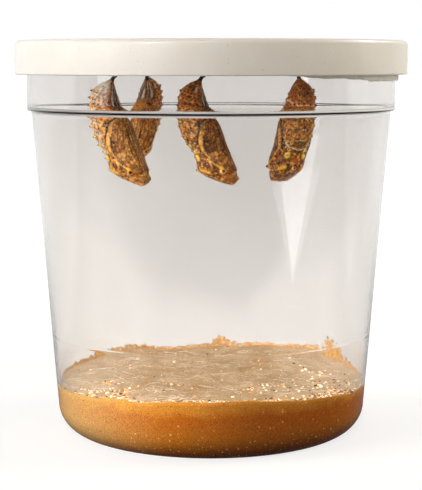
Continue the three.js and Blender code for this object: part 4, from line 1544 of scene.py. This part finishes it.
# %% Build the chrysalises
def chrysalis_points(look):
    stations = np.linspace(0, 1, ALONG_STEPS)
    turns = np.linspace(-180, 180, ROUND_STEPS, endpoint=False)
    along, turn = np.meshgrid(stations, turns, indexing="ij")
    made = marks(along, turn)
    points, _ = shell(
        along, turn, relief(along, turn, made) * soft_step(0, 0.04, along) * soft_step(1, 0.97, along)
    )
    return points, paint_shell(along, turn, made, look), made["gold"]


def add_ends(values):
    """Adds the middle of the first and of the last ring, which close the body at both ends."""
    flat = values.reshape(len(values), ROUND_STEPS, -1)
    return np.concatenate([[flat[0].mean(0), flat[-1].mean(0)], flat.reshape(-1, flat.shape[-1])])


def build_chrysalis(number, place, look):
    points, paint, gold = chrysalis_points(look)
    own = add_ends(points)
    faces = sheet_faces(ALONG_STEPS, ROUND_STEPS, 2).tolist()
    last = 2 + (ALONG_STEPS - 1) * ROUND_STEPS
    for i in range(ROUND_STEPS):
        after = (i + 1) % ROUND_STEPS
        faces += [(0, 2 + after, 2 + i), (1, last + i, last + after)]
    body = mesh_object(f"chrysalis_body_{number}", hung(own, place), faces)
    opaque = np.concatenate([add_ends(paint), np.ones((len(own), 1))], axis=1)
    set_attribute(body, "paint", opaque, "FLOAT_COLOR")
    set_attribute(body, "gold", add_ends(gold[..., None])[:, 0])
    set_attribute(body, "place", own * MM + number * SPECKLE_SHIFT, "FLOAT_VECTOR")
    body.data.materials.append(SHELL)
    finish_piece(body, [f"chrysalis_{number}"])


def build_warts(number, place):
    along, turn, radius, height, golden = np.array(wart_list()).T
    size = place[6]
    feet, facing = shell(along, turn, -0.12 + 0 * along)
    warts = mesh_object(f"warts_{number}", hung(feet, place))
    set_attribute(warts, "facing", hung(facing, place, is_direction=True), "FLOAT_VECTOR")
    set_attribute(warts, "size", np.stack([radius, radius, height], -1) * size * MM, "FLOAT_VECTOR")
    set_attribute(warts, "bright", golden)
    run_tree(warts, WARTS, Sharpness=0.16)
    finish_piece(warts, sharp=60)


SPECKLE_SHIFT = 0.05  # metres between the speckles of one chrysalis and the next
for number, (place, look) in enumerate(zip(HANGING, PALETTES), 1):
    build_chrysalis(number, place, look)
    build_warts(number, place)

# %% [markdown]
# ## Hooks and silk buttons
# The tip of the abdomen is a black stalk with tiny hooks. It is caught in a button of silk, which the
# caterpillar spun on the paper before it shed its skin. The stalk is a bent rod. The button is a pad of
# threads, laid by the same tree as the silk on the food, over a small mound that joins stalk and paper.

# %% Hooks and buttons
HOOK_ROUTE = [
    (-0.25, 0, -0.9), (-0.05, 0, -0.3), (0.2, 0, 0.15), (0.5, 0, 0.45), (0.85, 0, 0.62), (1.1, 0, 0.7),
]
HOOK_RADII = [0.62, 0.5, 0.38, 0.33, 0.3, 0.16]
HOOK_SIDES = 10
BUTTON_ROUND = 28
BUTTON_RINGS = [(0.0, -0.95), (0.5, -0.85), (0.9, -0.5), (1.3, -0.2), (1.9, -0.05), (2.6, 0.0)]


def hook_finish():
    made, tree, shader = material("hook")
    where = add(tree, "ShaderNodeTexCoord").outputs["Object"]
    tint = blend(tree, grain(tree, where, 0.25), colour(24, 16, 14), colour(64, 42, 28))
    plug(tree, shader, {"Base Color": tint, "Roughness": 0.4})
    return made


def button_mound(place):
    """A low mound of silk on the underside of the paper, over a chrysalis's tip."""
    ring = np.linspace(0, math.tau, BUTTON_ROUND, endpoint=False)
    rows = []
    for radius, up in BUTTON_RINGS:
        out = radius * (
            1 + 0.25 * lumps(np.stack([np.cos(ring), np.sin(ring), ring * 0 + radius], -1) * 2, 1.0, 71)
        )
        rows.append(np.stack([place[0] + 0.5 + np.cos(ring) * out, place[1] + np.sin(ring) * out,
                              PAPER_UNDER_Z + up + ring * 0], -1))
    return np.array(rows)


HOOK = hook_finish()
for number, place in enumerate(HANGING, 1):
    upright = (*place[:3], 0, *place[4:])
    hook_points, hook_faces = rod(hung(HOOK_ROUTE, upright), HOOK_RADII, HOOK_SIDES)
    hook = mesh_object(f"hook_{number}", hook_points, hook_faces)
    hook.data.materials.append(HOOK)
    finish_piece(hook)
    rows = button_mound(place)
    faces = sheet_faces(len(rows), BUTTON_ROUND).tolist()
    brim = (len(rows) - 1) * BUTTON_ROUND
    faces += [tuple(range(BUTTON_ROUND))[::-1], tuple(range(brim, brim + BUTTON_ROUND))]
    mound = mesh_object(f"silk_pad_{number}", rows.reshape(-1, 3), faces)
    mound.data.materials.append(SILK)
    finish_piece(mound, [f"silk_button_{number}"])
    open_faces = sheet_faces(len(rows), BUTTON_ROUND).tolist()
    lines = mesh_object(f"silk_lines_{number}", rows.reshape(-1, 3), open_faces)
    set_attribute(lines, "amount", np.ones(rows.shape[0] * rows.shape[1]))
    run_tree(lines, THREADS, Density=4.0e6, Seed=number, Length=2.2 * MM, Thickness=0.05 * MM)
    finish_piece(lines)

# %% [markdown]
# ## The table
# A white sweep, so plain that only the soft shadow under the cup shows it. What is seen straight is white,
# and its glow is set weaker near the cup, so that shadow is partly painted shade.
# What is seen through the plastic is a shade darker, as a real sweep is away from its lamps, and what the
# plastic mirrors is bright behind the cup and dark in front of it. A ray that came through the plastic and
# met no mirror finds full brightness, also where it leaves through the side of the cup.

# %% Table
FLOOR_HALF = 20000.0
SEEN_THROUGH = (0.9, 0.865, 0.835, 1)
WHITE = (1, 1, 1, 1)
DARK_ROOM = 0.04  # brightness of the room in front of the cup, where nothing is lit
# Distance from the cup's middle, in metres, over which the painted shade on the table fades out.
SHADOW_REACH = 0.25
# For each kind of ray: the tint that it sees, and where the brightness sets in, in metres behind the cup's
# middle.
TABLE_RULES = [("Is Glossy Ray", WHITE, -0.05, 0.35), ("Is Transmission Ray", SEEN_THROUGH, 0.0, 0.05)]


def first_look(tree, rays):
    """1 for what the camera sees, straight, through plastic or mirrored, and 0 for light on its way."""
    return calc(tree, "SUBTRACT", 1.0, calc(tree, "MINIMUM", rays["Diffuse Depth"], 1.0))


def seen_through(tree, rays, ahead, start, stop):
    """Brightness behind the plastic: full for a ray that went straight, otherwise by its direction."""
    straight = calc(tree, "SUBTRACT", 1.0, calc(tree, "MINIMUM", rays["Glossy Depth"], 1.0))
    return calc(tree, "MAXIMUM", straight, spread(tree, ahead, start, stop, DARK_ROOM, 1.0))


def floor_finish():
    made, tree, shader = material("pale_table")
    where = add(tree, "ShaderNodeTexCoord").outputs["Object"]
    tint = blend(tree, grain(tree, where, 40.0), (0.4, 0.4, 0.4, 1), (0.42, 0.42, 0.42, 1))
    plug(tree, shader, {"Base Color": tint, "Roughness": 0.9, "Specular IOR Level": 0.0})
    rays = add(tree, "ShaderNodeLightPath").outputs
    away = add(tree, "ShaderNodeVectorMath", {0: where}, operation="LENGTH").outputs["Value"]
    # Painted shade: the glow seen straight is weaker near the cup.
    strength = spread(tree, away, 0.05, SHADOW_REACH, 0.72, 1.0)
    strength = calc(tree, "MULTIPLY", rays["Is Camera Ray"], strength)
    glow = add(tree, "ShaderNodeEmission", {"Color": WHITE, "Strength": strength})
    direct = add(tree, "ShaderNodeAddShader", {0: shader.outputs[0], 1: glow.outputs[0]})
    ahead = add(tree, "ShaderNodeSeparateXYZ", {"Vector": where}).outputs["Y"]
    both = direct.outputs[0]
    for ray, shown, start, stop in TABLE_RULES:
        dim = seen_through(tree, rays, ahead, start, stop)
        other = add(tree, "ShaderNodeEmission", {"Color": shown, "Strength": dim})
        seen = calc(tree, "MULTIPLY", rays[ray], first_look(tree, rays))
        both = add(tree, "ShaderNodeMixShader", {0: seen, 1: both, 2: other.outputs[0]}).outputs[0]
    plug(tree, tree.nodes["Material Output"], {"Surface": both})
    return made


floor_corners = [(x * FLOOR_HALF, y * FLOOR_HALF, 0) for x, y in [(-1, -1), (1, -1), (1, 1), (-1, 1)]]
floor = mesh_object("table", floor_corners, [(0, 1, 2, 3)])
floor.location.z = -0.05 * MM
floor.data.materials.append(floor_finish())
print("the table reaches", FLOOR_HALF * MM, "m each way")

# %% [markdown]
# ## Lamps
# A broad soft lamp stands to the left, and a warm one lights the right edge. Both would show in the plastic
# as plain squares, so mirrored and bent rays don't find them. A small hard lamp in front and above is the
# key, and a second one gives the sparkle on the near wall. Another is linked to the lid alone and draws the
# line of light along its rounded edge.

# %% Lamps
AIM_Z = 45.0


def lamp(name, heading, height, distance, size, power, tint):
    """A square soft lamp at a heading and a height in degrees, aimed at the middle of the cup."""
    data = bpy.data.lights.new(name, "AREA")
    data.size = size
    data.energy = power
    data.color = tint
    made = bpy.data.objects.new(name, data)
    turn, rise = math.radians(heading), math.radians(height)
    way = Vector((math.cos(turn) * math.cos(rise), math.sin(turn) * math.cos(rise), math.sin(rise)))
    made.location = way * distance + Vector((0, 0, AIM_Z * MM))
    made.rotation_euler = way.to_track_quat("Z", "Y").to_euler()
    bpy.context.scene.collection.objects.link(made)
    return made


softbox = lamp("left_softbox", 204, 12, 0.9, 0.6, 8.0, (1.0, 1.0, 1.0))
lamp("front_key", 265, 35, 1.2, 0.07, 3.05, (1.0, 0.91, 0.8))
rim = lamp("right_rim", 8, 15, 1.0, 0.5, 6.2, (1.0, 0.95, 0.82))
for spill in (softbox, rim):
    spill.visible_glossy = False
    spill.visible_transmission = False
edge_glint = lamp("edge_glint", 33, 37, 1.0, 0.16, 5.0, (1.0, 1.0, 1.0))
edge_glint.visible_diffuse = False
sparkle = lamp("sparkle", 236, 21, 0.8, 0.1, 3.4, (1.0, 0.97, 0.92))
sparkle.visible_diffuse = False
sparkle.visible_transmission = False

# %% [markdown]
# ## The shadow on the far wall
# Light that falls through the neck makes the hazy far wall bright, except where the lid and what stands
# above it keep it off, and this leaves a rounded shade with a sharp lower edge. A lamp of its own makes it.
# It is linked to the cup, so that it lights nothing else, and a flag hangs in its beam. The flag's outline
# is found backwards, from the edge of the shade on the wall towards the lamp. No other lamp is shaded by
# the flag, and nothing sees it.

# %% Shade on the far wall
# Where the edge of the shadow crosses the far wall: across and height, in mm.
SHADOW_EDGE = [
    (-37.0, 74.0), (-33.0, 71.5), (-27.5, 66.0), (-26.0, 58.0), (-24.4, 51.2), (-21.5, 42.6), (-18.0, 34.8),
    (-14.8, 29.5), (-10.0, 24.9), (-5.0, 22.4), (0.5, 21.6), (6.0, 22.4), (11.0, 25.4), (15.0, 30.2),
    (18.5, 37.5), (20.5, 44.0), (22.5, 53.0), (24.0, 66.0), (33.0, 71.5), (37.0, 74.0),
]
FLAG_Z = 110.0
FLAG_DEPTH = 60.0
haze_light = lamp("haze_light", 270, 35, 1.2, 0.04, 3.3, (1.0, 0.97, 0.94))


def flag_points():
    """The outline of a flag beside the lamp's beam, found by going back from its shadow on the far wall."""
    across, height = np.array(SHADOW_EDGE).T
    wall = np.stack([across, np.sqrt(inner_radius(height) ** 2 - across**2), height], -1)
    lamp_place = np.array(haze_light.location) / MM
    share = (FLAG_Z - wall[:, 2]) / (lamp_place[2] - wall[:, 2])
    nose = wall + share[:, None] * (lamp_place - wall)
    return [*nose, nose[-1] + [0, FLAG_DEPTH, 0], nose[0] + [0, FLAG_DEPTH, 0]]


flag = mesh_object("flag", flag_points(), [tuple(range(len(SHADOW_EDGE) + 2))])
for ray in ("camera", "diffuse", "glossy", "transmission"):
    setattr(flag, f"visible_{ray}", False)


def link_light(lamp_object, role, member, state="INCLUDE"):
    """Lets a lamp light, or be shaded by, one object only, or all but that one."""
    group = bpy.data.collections.new(f"{lamp_object.name}_{role}")
    group.objects.link(member)
    group.collection_objects[0].light_linking.link_state = state
    setattr(lamp_object.light_linking, f"{role}_collection", group)


link_light(haze_light, "receiver", cup)
link_light(haze_light, "blocker", flag)
link_light(edge_glint, "receiver", lid)
link_light(softbox, "receiver", cup, "EXCLUDE")
for other in [o for o in bpy.context.scene.objects if o.type == "LIGHT" and o != haze_light]:
    link_light(other, "blocker", flag, "EXCLUDE")
print("the flag has", len(flag.data.vertices), "corners")

# %% [markdown]
# ## The card
# A three-cornered white card stands on its point at the left, as such cards do beside glossy things. Only
# the cup sees it, and mirrors it as one bright wedge. It is a mesh that glows and not a lamp, because a lamp
# can't have this shape.

# %% Card
CARD_HEADING = math.radians(204)
CARD_AWAY = 900.0
CARD_LOW = 30.0
CARD_HIGH = 192.0
CARD_HALF = 330.0
CARD_GLOW = 5.6
CARD_NEAR_SHARE = 0.35  # the near wall mirrors it less


def glint_card():
    """A white card that stands on its point at the left and shows as one bright wedge in the far wall."""
    made = bpy.data.materials.new("glint_card")
    made.use_nodes = True
    tree = made.node_tree
    tree.nodes.clear()
    rays = add(tree, "ShaderNodeLightPath").outputs
    far = spread(tree, rays["Transmission Depth"], 2, 3, CARD_NEAR_SHARE, 1.0)
    strength = calc(tree, "MULTIPLY", calc(tree, "MULTIPLY", first_look(tree, rays), far), CARD_GLOW)
    glow = add(tree, "ShaderNodeEmission", {"Color": WHITE, "Strength": strength})
    add(tree, "ShaderNodeOutputMaterial", {"Surface": glow.outputs[0]})
    along = np.array([math.cos(CARD_HEADING), math.sin(CARD_HEADING), 0])
    across = np.array([-along[1], along[0], 0]) * CARD_HALF
    low = along * CARD_AWAY + [0, 0, CARD_LOW]
    high = along * CARD_AWAY + [0, 0, CARD_HIGH]
    card = mesh_object("glint_card", [low, high + across, high - across], [(0, 1, 2)])
    card.data.materials.append(made)
    for ray in ("camera", "diffuse", "shadow"):
        setattr(card, f"visible_{ray}", False)


glint_card()
print("the card stands", CARD_AWAY, "mm away")

# %% [markdown]
# ## The room
# The world's shader answers each kind of ray in its own way. It is white where it is seen straight, a shade
# darker through the plastic, dark in front as mirrored, and dim and warm as a light. One plain colour would
# either grey the background or flood the cup with light from all sides.

# %% Room
ROOM_TINT = (0.8, 0.72, 0.64, 1)
ROOM_DEPTH = 0.9  # how far, in a direction's y, the brightness takes to set in
ROOM_RULES = [("Is Glossy Ray", WHITE, -0.5), ("Is Transmission Ray", SEEN_THROUGH, -0.6)]


def studio():
    """The room as each kind of ray finds it."""
    world = bpy.data.worlds.new("studio")
    world.use_nodes = True
    sky = world.node_tree
    sky.nodes.clear()
    rays = add(sky, "ShaderNodeLightPath").outputs
    way = add(sky, "ShaderNodeTexCoord").outputs["Generated"]
    parts = add(sky, "ShaderNodeSeparateXYZ", {"Vector": way}).outputs
    ahead = parts["Y"]
    sideways = spread(sky, parts["X"], -0.13, 0.13, 1.03, 0.93)
    shade = add(sky, "ShaderNodeBackground", {"Color": ROOM_TINT, "Strength": 0.22}).outputs[0]
    for ray, tint, start in ROOM_RULES:
        dim = calc(sky, "MULTIPLY", seen_through(sky, rays, ahead, start, start + ROOM_DEPTH), sideways)
        other = add(sky, "ShaderNodeBackground", {"Color": tint, "Strength": dim}).outputs[0]
        seen = calc(sky, "MULTIPLY", rays[ray], first_look(sky, rays))
        shade = add(sky, "ShaderNodeMixShader", {0: seen, 1: shade, 2: other}).outputs[0]
    straight = add(sky, "ShaderNodeBackground", {"Color": WHITE, "Strength": 1.0}).outputs[0]
    shade = add(sky, "ShaderNodeMixShader", {0: rays["Is Camera Ray"], 1: shade, 2: straight}).outputs[0]
    add(sky, "ShaderNodeOutputWorld", {"Surface": shade})
    return world


bpy.context.scene.world = studio()
bpy.context.scene.view_settings.view_transform = "Standard"
